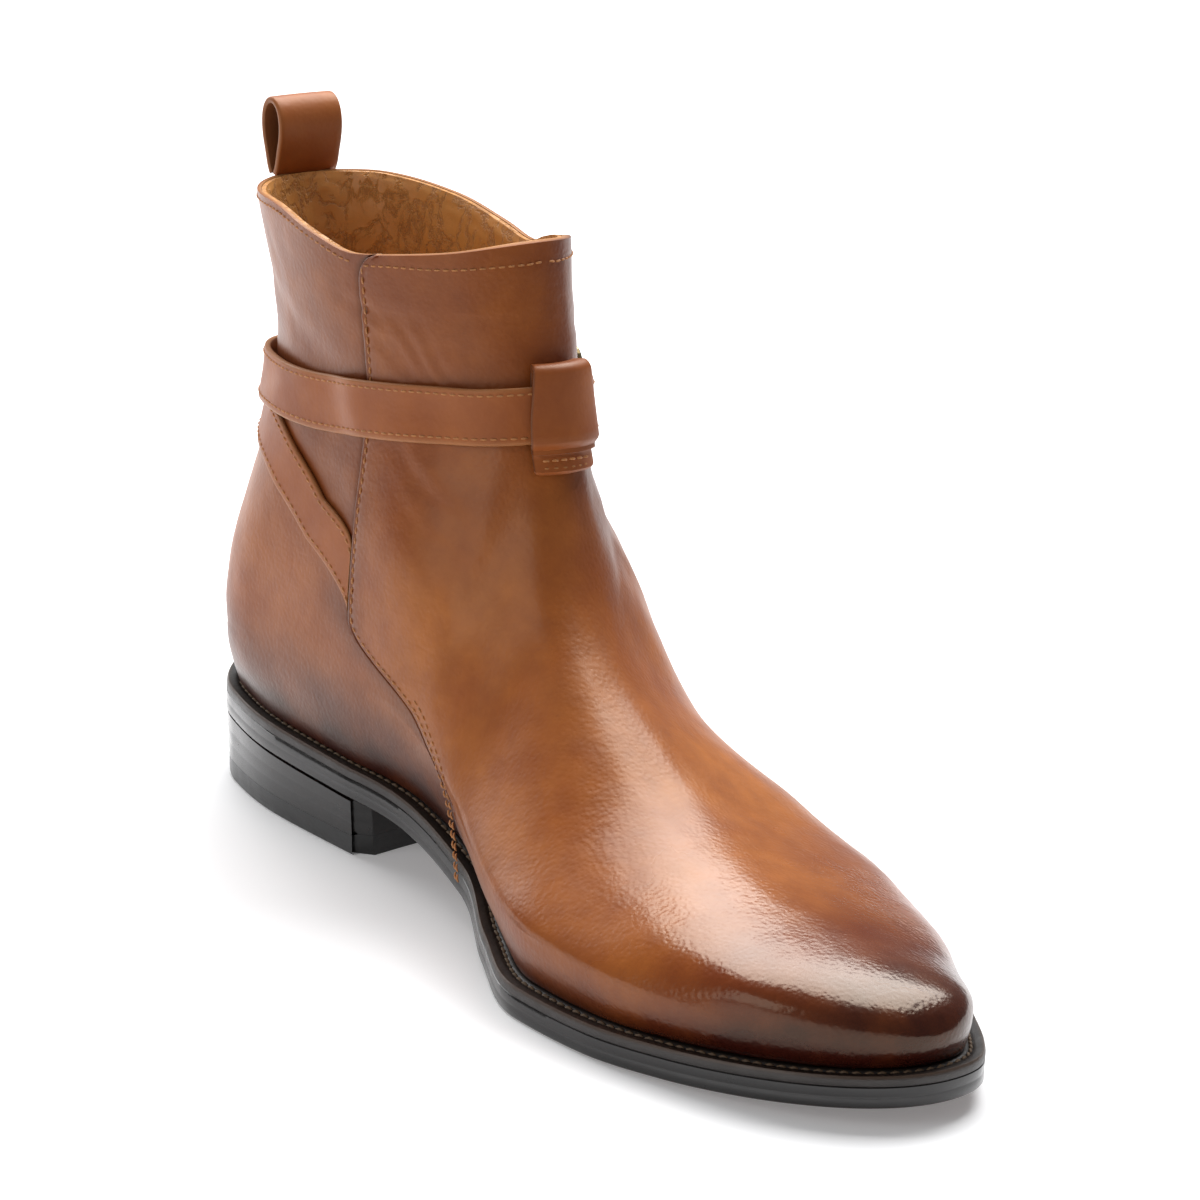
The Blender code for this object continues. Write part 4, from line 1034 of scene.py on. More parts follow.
def build_lining(plain, normals, outer, material):
    """The crumpled leather inside, from the collar down to the insole."""
    face, behind = [], []
    top = len(plain) - 1
    for j, (ring, row) in enumerate(zip(plain, normals)):
        depth = ramp(top - j, 0.0, 6.0)
        line = []
        for point, normal in zip(ring, row):
            upright = Vector((point.x * FOLD_ACROSS, point.y * FOLD_ACROSS, point.z * FOLD_ALONG))
            fold = FOLD_DEPTH * noise.noise(upright) + RIPPLE_DEPTH * noise.noise(point * RIPPLE_SCALE)
            line.append(point - normal * (WALL + (fold + LINING_PLAY) * depth))
        face.append(line)
        behind.append([point - normal * (SKIN + RIM_GAP) for point, normal in zip(ring, row)])
    for lines in (face, behind):
        for point, rim in zip(lines[-1], outer[-1]):
            point.z = rim.z - LINING_DROP
        for point, rim in zip(lines[0], outer[0]):
            point.z = rim.z
    piece("lining", ring_mesh("lining", behind + face[::-1]), material, "lining_leather", smooth=60)


# Stitches


def surface_spot(x, z, side, lift):
    """A point on the upper's outer face with its normal, lift above the plain form."""

    def at(u, w):
        return Vector((u, side * upper_half(u, w, side) + ridge_y(u, w), w))

    point = at(x, z)
    along = at(x + NEAR_STEP, z) - at(x - NEAR_STEP, z)
    up = at(x, z + NEAR_STEP) - at(x, z - NEAR_STEP)
    normal = along.cross(up).normalized() * (-side)
    if normal.y * side < 0.0 and abs(normal.y) > 0.2:
        normal = -normal
    return point + normal * lift, normal


def thread(points, faces, start, end, normal, radius):
    """Adds one stitch, a bent thread whose ends sink into the leather."""
    along = end - start
    side = normal.cross(along).normalized()
    base, sides = len(points), range(THREAD_SIDES)
    for bend in THREAD_BENDS:
        centre = start + along * bend.share + normal * radius * bend.height
        for k in sides:
            angle = 2.0 * math.pi / THREAD_SIDES * k
            points.append(centre + (side * math.cos(angle) + normal * math.sin(angle)) * radius * bend.size)
    for face in grid_faces(len(THREAD_BENDS), THREAD_SIDES, False):
        faces.append(tuple(base + corner_index for corner_index in face))
    faces.append(tuple(base + k for k in sides[::-1]))
    top = base + (len(THREAD_BENDS) - 1) * THREAD_SIDES
    faces.append(tuple(top + k for k in sides))


def sew(points, faces, line, sewing):
    """Stitches along a line of (point, normal) pairs."""
    marks = [0.0]
    for (a, _), (b, _) in zip(line, line[1:]):
        marks.append(marks[-1] + (b - a).length)

    def spot(at):
        i = 0
        while i < len(marks) - 2 and marks[i + 1] < at:
            i += 1
        span = max(marks[i + 1] - marks[i], 1e-9)
        t = min(max((at - marks[i]) / span, 0.0), 1.0)
        return line[i][0].lerp(line[i + 1][0], t), line[i][1].lerp(line[i + 1][1], t).normalized()

    for k in range(int(marks[-1] / sewing.pitch)):
        begin = k * sewing.pitch + 0.1 * sewing.pitch
        start, normal = spot(begin)
        end, _ = spot(begin + sewing.length)
        across = normal.cross(end - start).normalized() * sewing.slant
        thread(points, faces, start - across, end + across, normal, sewing.radius)


def sewn_piece(name, lines, material, slot, sewing=SEAM_SEWING):
    points, faces = [], []
    for line in lines:
        sew(points, faces, line, sewing)
    piece(name, rough_mesh(name, points, faces), material, slot)


def seam_line(side, margin, low, high, count):
    """A line beside the flap's edge, from one height to another."""
    line = []
    rim = ring_side(1.0, side)[SEAM_COLUMN][0].z
    for i in range(count + 1):
        z = low + (high - low) * i / count
        lean = (seam_x(z + 0.001, side) - seam_x(z - 0.001, side)) / 0.002
        x = seam_x(z, side) + margin * math.sqrt(1.0 + lean**2) + corner(rim - z + 0.7 * margin)
        line.append(surface_spot(x, z, side, FLAP_STEP))
    return line


def collar_lines(margin):
    """Lines below the collar and below the flap's top edge."""
    rings = []
    share = 1.0 - margin / (0.5 * (BACK_ZS[-1] - BACK_ZS[0] + FRONT_ZS[-1] - FRONT_ZS[0]))
    for side in (1, -1):
        quarter, flap = [], []
        for point, raised in ring_side(share, side):
            spot = surface_spot(point.x, point.z, side, FLAP_STEP * max(raised, 0.0))
            if raised >= 1.0:
                flap.append(spot)
            elif raised == 0.0:
                quarter.append(spot)
        rings += [quarter, flap]
    return rings


def build_upper_stitches(material):
    low = sole_top(0.5 * SOLE_LENGTH) + 0.002
    top, middle = SEAT + COLLAR_RISE * 0.985, SEAT + COLLAR_RISE * 0.19
    lines = []
    for side in (1, -1):
        lines.append(seam_line(side, FLAP_MARGIN, low, top, 80))
        lines.append(seam_line(side, FLAP_MARGIN + SECOND_ROW, low, middle, 24))
    sewn_piece("flap_stitches", lines, material, "strap_leather")
    sewn_piece("collar_stitches", collar_lines(COLLAR_MARGIN), material, "strap_leather", COLLAR_SEWING)


# Straps with rounded edges


def strap_profile(width, thickness):
    """Shares across, heights and edge wear of a strap's section, going round it."""
    rim = 0.42 * thickness
    side = []
    for i in range(4):
        angle = math.pi / 2.0 * i / 3.0
        inset = rim * (1.0 - math.sin(angle)) / width
        side.append((0.5 - inset, thickness - rim * (1.0 - math.cos(angle)), 0.35 + 0.2 * i))
    side.append((0.5, 0.45 * thickness, 1.0))
    side.append((0.5 - 0.2 * rim / width, 0.1 * thickness, 1.0))
    side.append((0.5 - 0.5 * rim / width, 0.0, 0.6))
    top = [(-0.5 + 0.1 * k, thickness, 0.0) for k in range(1, 10)]
    mirrored = [(-w, n, e) for w, n, e in side][::-1]
    under = [(0.25, 0.0, 0.5), (0.0, 0.0, 0.5), (-0.25, 0.0, 0.5)]
    return top + side + under + mirrored


def route_at(route, at):
    """Turn and height of a route at a place counted along its rows."""
    spots = list(range(len(route)))
    turn = through(spots, column(route, "turn"), at)
    return turn, SEAT + COLLAR_RISE * through(spots, column(route, "rise"), at)


def root_turn(z, side):
    """The turn at which the root of a strap meets the edge of the flap."""
    back, front = back_x(z), front_x(z)
    share = (seam_x(z, side) - ROOT_CLEAR - back) / (front - back)
    return side * math.acos(1.0 - 2.0 * share) / math.pi


def fine_route(route, width, thickness, lift, count, profile):
    """Sections of a strap on the shaft with a rounded profile, and its middle line for its stitches."""
    last = len(route) - 1
    side = 1 if route[0].turn > 0.0 else -1
    sections, rails = [], []
    for i in range(count + 1):
        at = last * i / count
        turn, z = route_at(route, at)
        turn += (root_turn(z, side) - turn) * max(1.0 - at, 0.0)
        ahead = shaft_point(*route_at(route, min(at + ROUTE_STEP, last)))
        behind = shaft_point(*route_at(route, max(at - ROUTE_STEP, 0.0)))
        _, normal, _ = shaft_frame(turn, z)
        across = normal.cross(ahead - behind).normalized()
        if across.z < 0.0:
            across = -across
        upright = Vector((0.0, 0.0, 1.0 / across.z))
        root = 1.0 - ramp(at, 0.0, ROOT_RUN)
        across = across.lerp(upright, root)
        skived = 1.0 - ROOT_SKIVE * (1.0 - ramp(at, 0.0, 0.8 * ROOT_RUN))
        clearance = lift(turn) * skived
        edges = {}

        def seat(share):
            key = round(share, 3)
            if key not in edges:
                shift = across * width * share
                swing = root * (root_turn(z + shift.z, side) - root_turn(z, side))
                spot, out, along = shaft_frame(turn + swing, z + shift.z)
                level = shift - Vector((0.0, 0.0, shift.z))
                edges[key] = (spot + along * level.dot(along), out)
            return edges[key]

        section = []
        for share, height, _ in profile:
            spot, out = seat(share)
            section.append(spot + out * (clearance + height * skived))
        sections.append(section)
        rail = []
        for way in (-1, 1):
            spot, out = seat(way * (0.5 - STRAP_MARGIN / width))
            rail.append((spot + out * (clearance + thickness * skived), out))
        rails.append(rail)
    return sections, rails


def long_lift(turn):
    over_back = 1.0 - ramp(abs(turn), 0.36, 0.50)
    on_flap = ramp(abs((turn + 1.0) % 2.0 - 1.0), 0.50, 0.56) if turn < 0.0 else 0.0
    in_keeper = 1.0 - ramp(abs(turn + 1.0), 0.17, 0.30)
    return (
        GAP
        + (UNDER_THICKNESS + GAP) * over_back
        + (FLAP_STEP + GAP) * on_flap
        + (KEEPER_LEG + KEEPER_PLAY + GAP) * in_keeper
    )


def flat_rows(knots, levels, steps, width, thickness, profile):
    """Sections beside the buckle, from the last knot back to the pointed tip at the first."""
    sections, rails = [], []
    _, _, _, normal = buckle_frame_axes()
    for i in range(steps + 1):
        t = knots[-1] + (knots[0] - knots[-1]) * i / steps
        n = through(knots, levels, t)
        rise = through(knots, levels, t + SLOPE_STEP) - through(knots, levels, t - SLOPE_STEP)
        lean = math.atan(rise / (2.0 * SLOPE_STEP))
        left = max(t - knots[0], 0.0) / TIP_LENGTH
        narrow = min(TIP_SHARE + (1.0 - TIP_SHARE) * left, 1.0)
        section = []
        for share, height, _ in profile:
            out = height - thickness / 2.0
            section.append(local(t - math.sin(lean) * out, share * width * narrow, n + math.cos(lean) * out))
        sections.append(section)
        rail = []
        for way in (-1, 1):
            w = way * max(width * narrow / 2.0 - STRAP_MARGIN, 0.0002)
            rail.append((local(t, w, n + thickness / 2.0), normal))
        rails.append(rail)
    return sections, rails


def strap_mesh(name, sections, profile):
    count = len(profile)
    points = [point for section in sections for point in section]
    faces = grid_faces(len(sections), count, False)
    faces.append(tuple(range(count)))
    faces.append(tuple(range(len(points) - 1, len(points) - count - 1, -1)))
    mesh = rough_mesh(name, points, faces)
    edge = [row[2] for row in profile] * len(sections)
    for k in range(count):
        edge[k] = edge[-1 - k] = 1.0
    paint(mesh, "edge", edge)
    return mesh


def punch(target, places, radius):
    """Round holes through a strap beside the buckle."""
    _, forward, up, _ = buckle_frame_axes()
    turn = Matrix((forward, up, forward.cross(up))).transposed().to_4x4()
    shape = bmesh.new()
    for place in places:
        bmesh.ops.create_cone(
            shape, cap_ends=True, segments=HOLE_SIDES, radius1=radius, radius2=radius, depth=HOLE_DEPTH,
            matrix=Matrix.Translation(place - Vector((HEEL_CENTRE, 0.0, 0.0))) @ turn,
        )
    mesh = bpy.data.meshes.new("punch")
    shape.to_mesh(mesh)
    shape.free()
    tool = bpy.data.objects.new("punch", mesh)
    bpy.context.scene.collection.objects.link(tool)
    cut_out = target.modifiers.new("holes", "BOOLEAN")
    cut_out.object = tool
    cut_out.operation = "DIFFERENCE"
    graph = bpy.context.evaluated_depsgraph_get()
    bpy.context.view_layer.update()
    result = bpy.data.meshes.new_from_object(target.evaluated_get(graph))
    target.modifiers.clear()
    old = target.data
    target.data = result
    bpy.data.meshes.remove(old)
    bpy.data.objects.remove(tool)


def build_straps(leather, thread_material):
    profile = strap_profile(STRAP_WIDTH, STRAP_THICKNESS)
    sections, rails = fine_route(LONG_ROUTE, STRAP_WIDTH, STRAP_THICKNESS, long_lift, LONG_STEPS, profile)
    reach = FRAME_LENGTH / 2.0
    knots = [row.place * reach for row in STRAP_RUN]
    levels = column(STRAP_RUN, "level")
    more, more_rails = flat_rows(knots, levels, TIP_STEPS, STRAP_WIDTH, STRAP_THICKNESS, profile)
    strap = piece(
        "long_strap_leather", strap_mesh("long_strap_leather", sections + more, profile),
        leather, "strap_leather", "long_strap",
    )
    holes = [local(t * reach, 0.0, through(knots, levels, t * reach)) for t in HOLES_AT]
    punch(strap, holes, HOLE_RADIUS)
    lines = [[rail[way] for rail in rails + more_rails[:-4]] for way in (0, 1)]
    lines.append([rail[0] for rail in more_rails[-6:]] + [rail[1] for rail in more_rails[-6:]][::-1])
    profile = strap_profile(UNDER_WIDTH, UNDER_THICKNESS)
    sections, rails = fine_route(
        UNDER_ROUTE, UNDER_WIDTH, UNDER_THICKNESS, lambda turn: GAP, UNDER_STEPS, profile
    )
    lines += [[rail[way] for rail in rails] for way in (0, 1)]
    half = UNDER_THICKNESS / 2.0
    for i in range(5):
        t = -FOLD_RUN * (1.0 - i / 4.0)
        sections.append([
            local(t, share * UNDER_WIDTH, UNDER_MID + height - half) for share, height, _ in profile
        ])
    for i in range(1, FOLD_STEPS):
        angle = math.pi * i / FOLD_STEPS
        section = []
        for share, height, _ in profile:
            radius = FOLD_RADIUS - (height - half)
            out = BAR_OUT - radius * math.cos(angle)
            section.append(local(radius * math.sin(angle), share * UNDER_WIDTH, out))
        sections.append(section)
    for back, drop in ((0.0, 0.0), (0.4, 0.15), (1.0, 1.0)):
        t, n = -back * FOLD_RUN, BAR_OUT + FOLD_RADIUS - drop * UNDER_THICKNESS
        sections.append([local(t, share * UNDER_WIDTH, n - height + half) for share, height, _ in profile])
    mesh = strap_mesh("buckle_strap_leather", sections, profile)
    piece("buckle_strap_leather", mesh, leather, "strap_leather", "buckle_strap")
    sewn_piece("strap_stitches", lines, thread_material, "strap_leather")


def build_keeper(leather, thread_material):
    """The keeper: its band's profile on the front of the shaft, with rounded side edges."""
    outer, inner = keeper_lines()
    shares = [(row.across, row.shrink) for row in KEEPER_SIDE]
    shares += [(k / 10.0 - 0.4, 0.0) for k in range(9)]
    shares += [(-row.across, row.shrink) for row in KEEPER_SIDE[::-1]]
    count = len(outer)
    middle = [((a[0] + b[0]) / 2.0, (a[1] + b[1]) / 2.0) for a, b in zip(outer, inner)]
    points, edge = [], []
    for share, shrink in shares:
        for line in (outer, inner):
            for (z, out), (mz, mo) in zip(line, middle):
                pinch = 1.0 - KEEPER_PINCH * ramp(z - SEAT, KEEPER_BOTTOM + KEEPER_HEM, KEEPER_TOP)
                point, normal = front_frame(KEEPER_WIDTH * share * pinch, z + (mz - z) * shrink)
                points.append(point + normal * (out + (mo - out) * shrink))
                edge.append(1.0 if shrink > 0.05 else 0.15)
    faces = []
    size = 2 * count
    for k in range(len(shares) - 1):
        for base in (0, count):
            for i in range(count):
                n = (i + 1) % count
                a, b = k * size + base, (k + 1) * size + base
                faces.append((a + i, a + n, b + n, b + i) if base == 0 else (a + n, a + i, b + i, b + n))
    for k in (0, len(shares) - 1):
        for i in range(count):
            n = (i + 1) % count
            a = k * size
            quad = (a + i, a + count + i, a + count + n, a + n)
            faces.append(quad if k == 0 else quad[::-1])
    mesh = rough_mesh("keeper_leather", points, faces)
    paint(mesh, "edge", edge)
    piece("keeper_leather", mesh, leather, "strap_leather", "keeper_loop", smooth=40)
    lines = []
    foot = FLAP_STEP + 2.0 * GAP + KEEPER_LEG + KEEPER_THICKNESS
    for row in KEEPER_ROWS:
        line = []
        for k in range(11):
            y = (KEEPER_WIDTH - 2.0 * KEEPER_MARGIN) * (k / 10.0 - 0.5)
            point, normal = front_frame(y, SEAT + KEEPER_BOTTOM + row.rise)
            line.append((point + normal * (foot - THREAD_SINK + row.lift), normal))
        lines.append(line)
    sewn_piece("keeper_stitches", lines, thread_material, "strap_leather", KEEPER_SEWING)


def build_pull_loop(leather):
    """The pull loop with rounded edges."""
    foot = Vector((BACK_XS[-1] + WALL / 2.0 - PULL_SETBACK, 0.0, BACK_ZS[-1] + GAP))
    profile = strap_profile(PULL_WIDTH, PULL_THICKNESS)
    rise = PULL_HEIGHT - PULL_THICKNESS / 2.0
    belly = PULL_BELLY * (PULL_DEPTH - PULL_THICKNESS) / 2.0
    middle = []
    for i in range(PULL_STEPS + 1):
        u = 2.0 * math.pi * i / PULL_STEPS
        height = 0.5 - 0.5 * math.cos(u)
        wide = math.sin(u) * max(math.sin(0.5 * u), 0.0) ** 0.9
        neck = PULL_NECK * (1.0 - ramp(height, 0.0, 0.35)) * (1 if u < math.pi else -1)
        middle.append(Vector((wide * belly + neck - PULL_LEAN * rise * height, 0.0, rise * height)))
    sections = []
    for i, point in enumerate(middle):
        along = (middle[min(i + 1, PULL_STEPS)] - middle[max(i - 1, 0)]).normalized()
        if i in (0, PULL_STEPS):
            along = Vector((0.0, 0.0, 1.0 if i == 0 else -1.0))
        out = Vector((along.z, 0.0, -along.x))
        row = []
        for share, height, _ in profile:
            across = Vector((PULL_SAG * PULL_WIDTH * share**2, PULL_WIDTH * share, 0.0))
            row.append(foot + across + point + out * (height - PULL_THICKNESS / 2.0))
        sections.append(row)
    mesh = strap_mesh("pull_loop_leather", sections, profile)
    # Painted shade: the loop's inner face is painted darker, standing in for the shade inside the loop.
    inside = [1.0 if n < 0.3 * PULL_THICKNESS else 0.0 for _, n, _ in profile] * len(sections)
    paint(mesh, "inside", inside)
    piece("pull_loop_leather", mesh, leather, "loop_leather", "pull_loop")


# Welt, sole and heel


def below_top(drop):
    return lambda x: sole_top(x) - drop


def above_bottom(lift):
    return lambda x: sole_bottom(x) + lift


def flat(z):
    return lambda x: z


def stack_level(share):
    """Height in the heel stack, at a share of the way from the top lift to the sole."""
    return lambda x: (LIFT_THICKNESS + GAP) * (1.0 - share) + (sole_bottom(x) - GAP) * share


def build_welt(material, thread_material):
    rings, edge = [], []
    for band in WELT_BANDS:
        ring = sole_ring(band.inset, below_top(band.level), WELT_STEPS)
        if 0.0006 < band.inset < 0.0032 and band.level < 0.0003:
            for i, point in enumerate(ring):
                point.z -= WHEEL_DEPTH * (0.5 + 0.5 * math.cos(math.pi * i))
        rings.append(ring)
        edge += [band.worn] * len(ring)
    mesh = ring_mesh("welt_leather", rings)
    paint(mesh, "edge", edge)
    piece("welt_leather", mesh, material, "welt_leather", "welt", smooth=45)
    ring = sole_ring(WELT_MARGIN, below_top(WELT_THREAD_DROP), 200)
    line = [(point, Vector((0.0, 0.0, 1.0))) for point in ring + ring[:1]]
    sewn_piece("welt_stitches", [line], thread_material, "welt_leather", WELT_SEWING)


def layer_mesh(name, rings, worn, count, front):
    """A layer with flat ends, closed from side to side and by one polygon over its last points."""
    size = len(rings[0])
    points = [point for ring in rings for point in ring]
    faces = grid_faces(len(rings), size, False)
    for base in (0, (len(rings) - 1) * size):
        faces.append((base, base + 1, base + size - 1))
        for i in range(1, count):
            faces.append((base + i, base + i + 1, base + size - i - 1, base + size - i))
        faces.append(tuple(base + count + i for i in range(front + 2)))
    return clean_mesh(name, points, faces, worn, size)


def build_outsole(material):
    rings = [sole_ring(band.inset, above_bottom(band.level), SOLE_STEPS) for band in SOLE_BANDS]
    mesh = layer_mesh("outsole_leather", rings, column(SOLE_BANDS, "worn"), SOLE_STEPS - 1, 1)
    piece("outsole_leather", mesh, material, "sole_leather", "outsole", smooth=45)


def clean_mesh(name, points, faces, worn, size):
    """A mesh of rings that faces outwards, painted with one value of wear for each ring."""
    shape = bmesh.new()
    layer = shape.verts.layers.float.new("edge")
    corners = []
    for i, point in enumerate(points):
        corner = shape.verts.new(point)
        corner[layer] = worn[i // size]
        corners.append(corner)
    for face in faces:
        shape.faces.new([corners[i] for i in face])
    bmesh.ops.recalc_face_normals(shape, faces=shape.faces)
    mesh = bpy.data.meshes.new(name)
    shape.to_mesh(mesh)
    shape.free()
    return mesh


def build_heel_piece(name, bands, material, slot, node):
    """A layer of the heel, from bands whose levels are height functions."""
    rings = [heel_ring(band.inset, band.level) for band in bands]
    mesh = layer_mesh(name, rings, column(bands, "worn"), HEEL_STEPS, BREAST_STEPS)
    piece(name, mesh, material, slot, node, smooth=40)


def build_heel(stack_material, lift_material):
    taper = HEEL_TAPER * 0.75
    stack = [Band(taper, flat(LIFT_THICKNESS + JOINT), 0.0)]
    for line in STACK_LINES:
        for shift, groove in ((-LINE_REACH, 0.0), (0.0, GROOVE), (LINE_REACH, 0.0)):
            share = line + shift
            stack.append(Band(taper * (1.0 - share) + groove, stack_level(share), 0.0))
    stack.append(Band(0.0, above_bottom(-JOINT), 0.0))
    build_heel_piece("heel_leather", stack, stack_material, "sole_leather", "heel_stack")
    lift = [Band(band.inset, flat(band.level), band.worn) for band in LIFT_BANDS]
    build_heel_piece("top_lift_rubber", lift, lift_material, "lift_rubber", "top_lift")


# Materials


class Nodes:
    """A material's node tree with short ways to add to it."""

    def __init__(self, name):
        self.material = bpy.data.materials.new(name)
        self.material.use_nodes = True
        self.tree = self.material.node_tree
        self.shader = self.tree.nodes["Principled BSDF"]
        self.place = self.add("ShaderNodeTexCoord").outputs["Object"]

    def add(self, kind, **values):
        node = self.tree.nodes.new(kind)
        for key, value in values.items():
            setattr(node, key, value)
        return node

    def link(self, source, target):
        self.tree.links.new(source, target)

    def feed(self, name, source):
        self.link(source, self.shader.inputs[name])

    def put(self, name, value):
        self.shader.inputs[name].default_value = value

    def noise(self, scale, detail=4.0, rough=0.55, stretch=None, warp=0.0):
        node = self.add("ShaderNodeTexNoise")
        node.inputs["Scale"].default_value = scale
        node.inputs["Detail"].default_value = detail
        node.inputs["Roughness"].default_value = rough
        node.inputs["Distortion"].default_value = warp
        if stretch is None:
            self.link(self.place, node.inputs["Vector"])
        else:
            mapping = self.add("ShaderNodeMapping")
            mapping.inputs["Scale"].default_value = stretch
            self.link(self.place, mapping.inputs["Vector"])
            self.link(mapping.outputs["Vector"], node.inputs["Vector"])
        return node.outputs["Fac"]

    def cells(self, scale, feature="F1"):
        node = self.add("ShaderNodeTexVoronoi", feature=feature)
        node.inputs["Scale"].default_value = scale
        self.link(self.place, node.inputs["Vector"])
        return node.outputs["Distance"]

    def speckle(self, scale, detail, low=0.3, high=0.7, to_low=0.0, to_high=1.0):
        """Noise, spread over a range of values."""
        return self.spread(self.noise(scale, detail), low, high, to_low, to_high)

    def painted(self, name):
        return self.add("ShaderNodeAttribute", attribute_name=name).outputs["Fac"]

    def spread(self, value, low, high, to_low=0.0, to_high=1.0):
        node = self.add("ShaderNodeMapRange")
        for slot, number in (("From Min", low), ("From Max", high), ("To Min", to_low), ("To Max", to_high)):
            node.inputs[slot].default_value = number
        self.link(value, node.inputs["Value"])
        return node.outputs["Result"]

    def maths(self, operation, a, b):
        node = self.add("ShaderNodeMath", operation=operation)
        for slot, value in ((0, a), (1, b)):
            if isinstance(value, (int, float)):
                node.inputs[slot].default_value = value
            else:
                self.link(value, node.inputs[slot])
        return node.outputs["Value"]

    def mixed(self, share, first, second):
        node = self.add("ShaderNodeMix", data_type="RGBA")
        for slot, value in ((6, first), (7, second)):
            if isinstance(value, tuple):
                node.inputs[slot].default_value = (*value, 1.0)
            else:
                self.link(value, node.inputs[slot])
        if isinstance(share, (int, float)):
            node.inputs[0].default_value = share
        else:
            self.link(share, node.inputs[0])
        return node.outputs[2]

    def bumps(self, *layers):
        """Bump from layers of (height, strength, depth in metres)."""
        below = None
        for height, strength, depth in layers:
            node = self.add("ShaderNodeBump")
            node.inputs["Strength"].default_value = strength
            node.inputs["Distance"].default_value = depth
            self.link(height, node.inputs["Height"])
            if below is not None:
                self.link(below, node.inputs["Normal"])
            below = node.outputs["Normal"]
        self.feed("Normal", below)


COGNAC = (0.270, 0.066, 0.0115)
ORANGE = (0.410, 0.128, 0.0230)
RED_BROWN = (0.115, 0.0180, 0.0050)
# Near-black brown of the toe's burnish, also mixed in as painted shade.
BURNT_AND_SHADE = (0.030, 0.0046, 0.0026)
RAW_EDGE = (0.36, 0.165, 0.060)
STRAP_BROWN, STRAP_DEEP = (0.310, 0.083, 0.0160), (0.220, 0.050, 0.0105)
LOOP_BROWN, LOOP_DEEP = (0.360, 0.110, 0.0240), (0.260, 0.068, 0.0150)
# The second colour is painted shade for the pull loop's inner face.
LOOP_RAW, LOOP_INSIDE_SHADE = (0.20, 0.066, 0.018), (0.130, 0.040, 0.0130)
KEEPER_RAW = (0.075, 0.020, 0.007)
# The last colour is painted shade for the lining's creases.
OCHRE, DEEP_OCHRE, CREASE_SHADE = (0.560, 0.255, 0.062), (0.47, 0.195, 0.044), (0.20, 0.066, 0.014)
THREAD, DARK_THREAD = (0.44, 0.170, 0.045), (0.16, 0.100, 0.055)
WELT_BLACK, WELT_WORN = (0.014, 0.009, 0.007), (0.085, 0.045, 0.024)
SOLE_BLACK, SOLE_WORN = (0.008, 0.006, 0.0055), (0.090, 0.022, 0.010)
RUBBER, RUBBER_WORN = (0.007, 0.0065, 0.0065), (0.02, 0.019, 0.018)
BRASS = (0.36, 0.27, 0.14)
WARM_TINT = (1.0, 0.80, 0.60, 1.0)
GRAIN_CELLS = 900.0


def upper_material():
    made = Nodes("burnished_calf")
    mottle = made.speckle(24.0, 5.0, 0.34, 0.66)
    fine = made.speckle(150.0, 4.0, 0.34, 0.70)
    base = made.mixed(mottle, COGNAC, ORANGE)
    base = made.mixed(made.maths("MULTIPLY", fine, 0.26), base, RED_BROWN)
    # The painted red and dark hold burnish and painted shade: a thin line behind the flap's edge and the
    # outer side of the shaft, and for dark also the band low by the welt.
    wobble = made.speckle(52.0, 5.0, to_low=0.70, to_high=1.22)
    red = made.maths("MULTIPLY", made.painted("red"), wobble)
    base = made.mixed(made.maths("MINIMUM", made.maths("MULTIPLY", red, 0.80), 1.0), base, RED_BROWN)
    dark = made.maths("MULTIPLY", made.painted("dark"), wobble)
    base = made.mixed(made.maths("MINIMUM", dark, 1.0), base, BURNT_AND_SHADE)
    base = made.mixed(made.painted("edge"), base, RAW_EDGE)
    made.feed("Base Color", base)
    worn = made.speckle(38.0, 4.0, to_low=0.36, to_high=0.48)
    polish = made.maths("MULTIPLY", made.painted("shine"), 0.20)
    made.feed("Roughness", made.maths("SUBTRACT", worn, polish))
    made.put("Specular IOR Level", 0.45)
    made.put("Specular Tint", WARM_TINT)
    made.put("Coat Weight", 0.07)
    made.put("Coat Roughness", 0.16)
    made.bumps(
        (made.cells(GRAIN_CELLS, "SMOOTH_F1"), 0.32, 0.00024),
        (made.noise(1500.0, 3.0), 0.14, 0.00012),
        (made.noise(120.0, 6.0, stretch=(1.0, 1.0, 1.8), warp=0.4), 0.12, 0.0010),
    )
    return made.material


def strap_material(name, base_colour, deep_colour, raw=RAW_EDGE, inside=False):
    made = Nodes(name)
    mottle = made.speckle(60.0, 5.0)
    base = made.mixed(mottle, base_colour, deep_colour)
    if inside:
        # Painted shade on the pull loop's inner face.
        base = made.mixed(made.painted("inside"), base, LOOP_INSIDE_SHADE)
    base = made.mixed(made.maths("MULTIPLY", made.painted("edge"), 0.7), base, raw)
    made.feed("Base Color", base)
    made.feed("Roughness", made.speckle(90.0, 4.0, to_low=0.42, to_high=0.54))
    made.put("Specular Tint", WARM_TINT)
    made.put("Coat Weight", 0.04)
    made.put("Coat Roughness", 0.2)
    made.bumps(
        (made.cells(GRAIN_CELLS, "SMOOTH_F1"), 0.20, 0.00022),
        (made.noise(260.0, 4.0), 0.14, 0.0004),
    )
    return made.material


def lining_material():
    made = Nodes("lining_leather")
    mottle = made.speckle(55.0, 5.0)
    base = made.mixed(mottle, OCHRE, DEEP_OCHRE)
    wrinkle = made.noise(150.0, 9.0, rough=0.62, stretch=(1.0, 1.0, 0.7), warp=0.35)
    creased = made.maths("ABSOLUTE", made.maths("SUBTRACT", wrinkle, 0.5), 0.0)
    # Painted shade: the lining darkens towards brown along its wrinkle lines, standing in for the shade in
    # its creases.
    base = made.mixed(made.spread(creased, 0.0, 0.022, 0.42, 0.0), base, CREASE_SHADE)
    made.feed("Base Color", base)
    made.put("Roughness", 0.50)
    made.bumps(
        (made.spread(creased, 0.0, 0.05), 0.55, 0.0006),
        (made.noise(700.0, 4.0, warp=0.6), 0.30, 0.0003),
    )
    return made.material


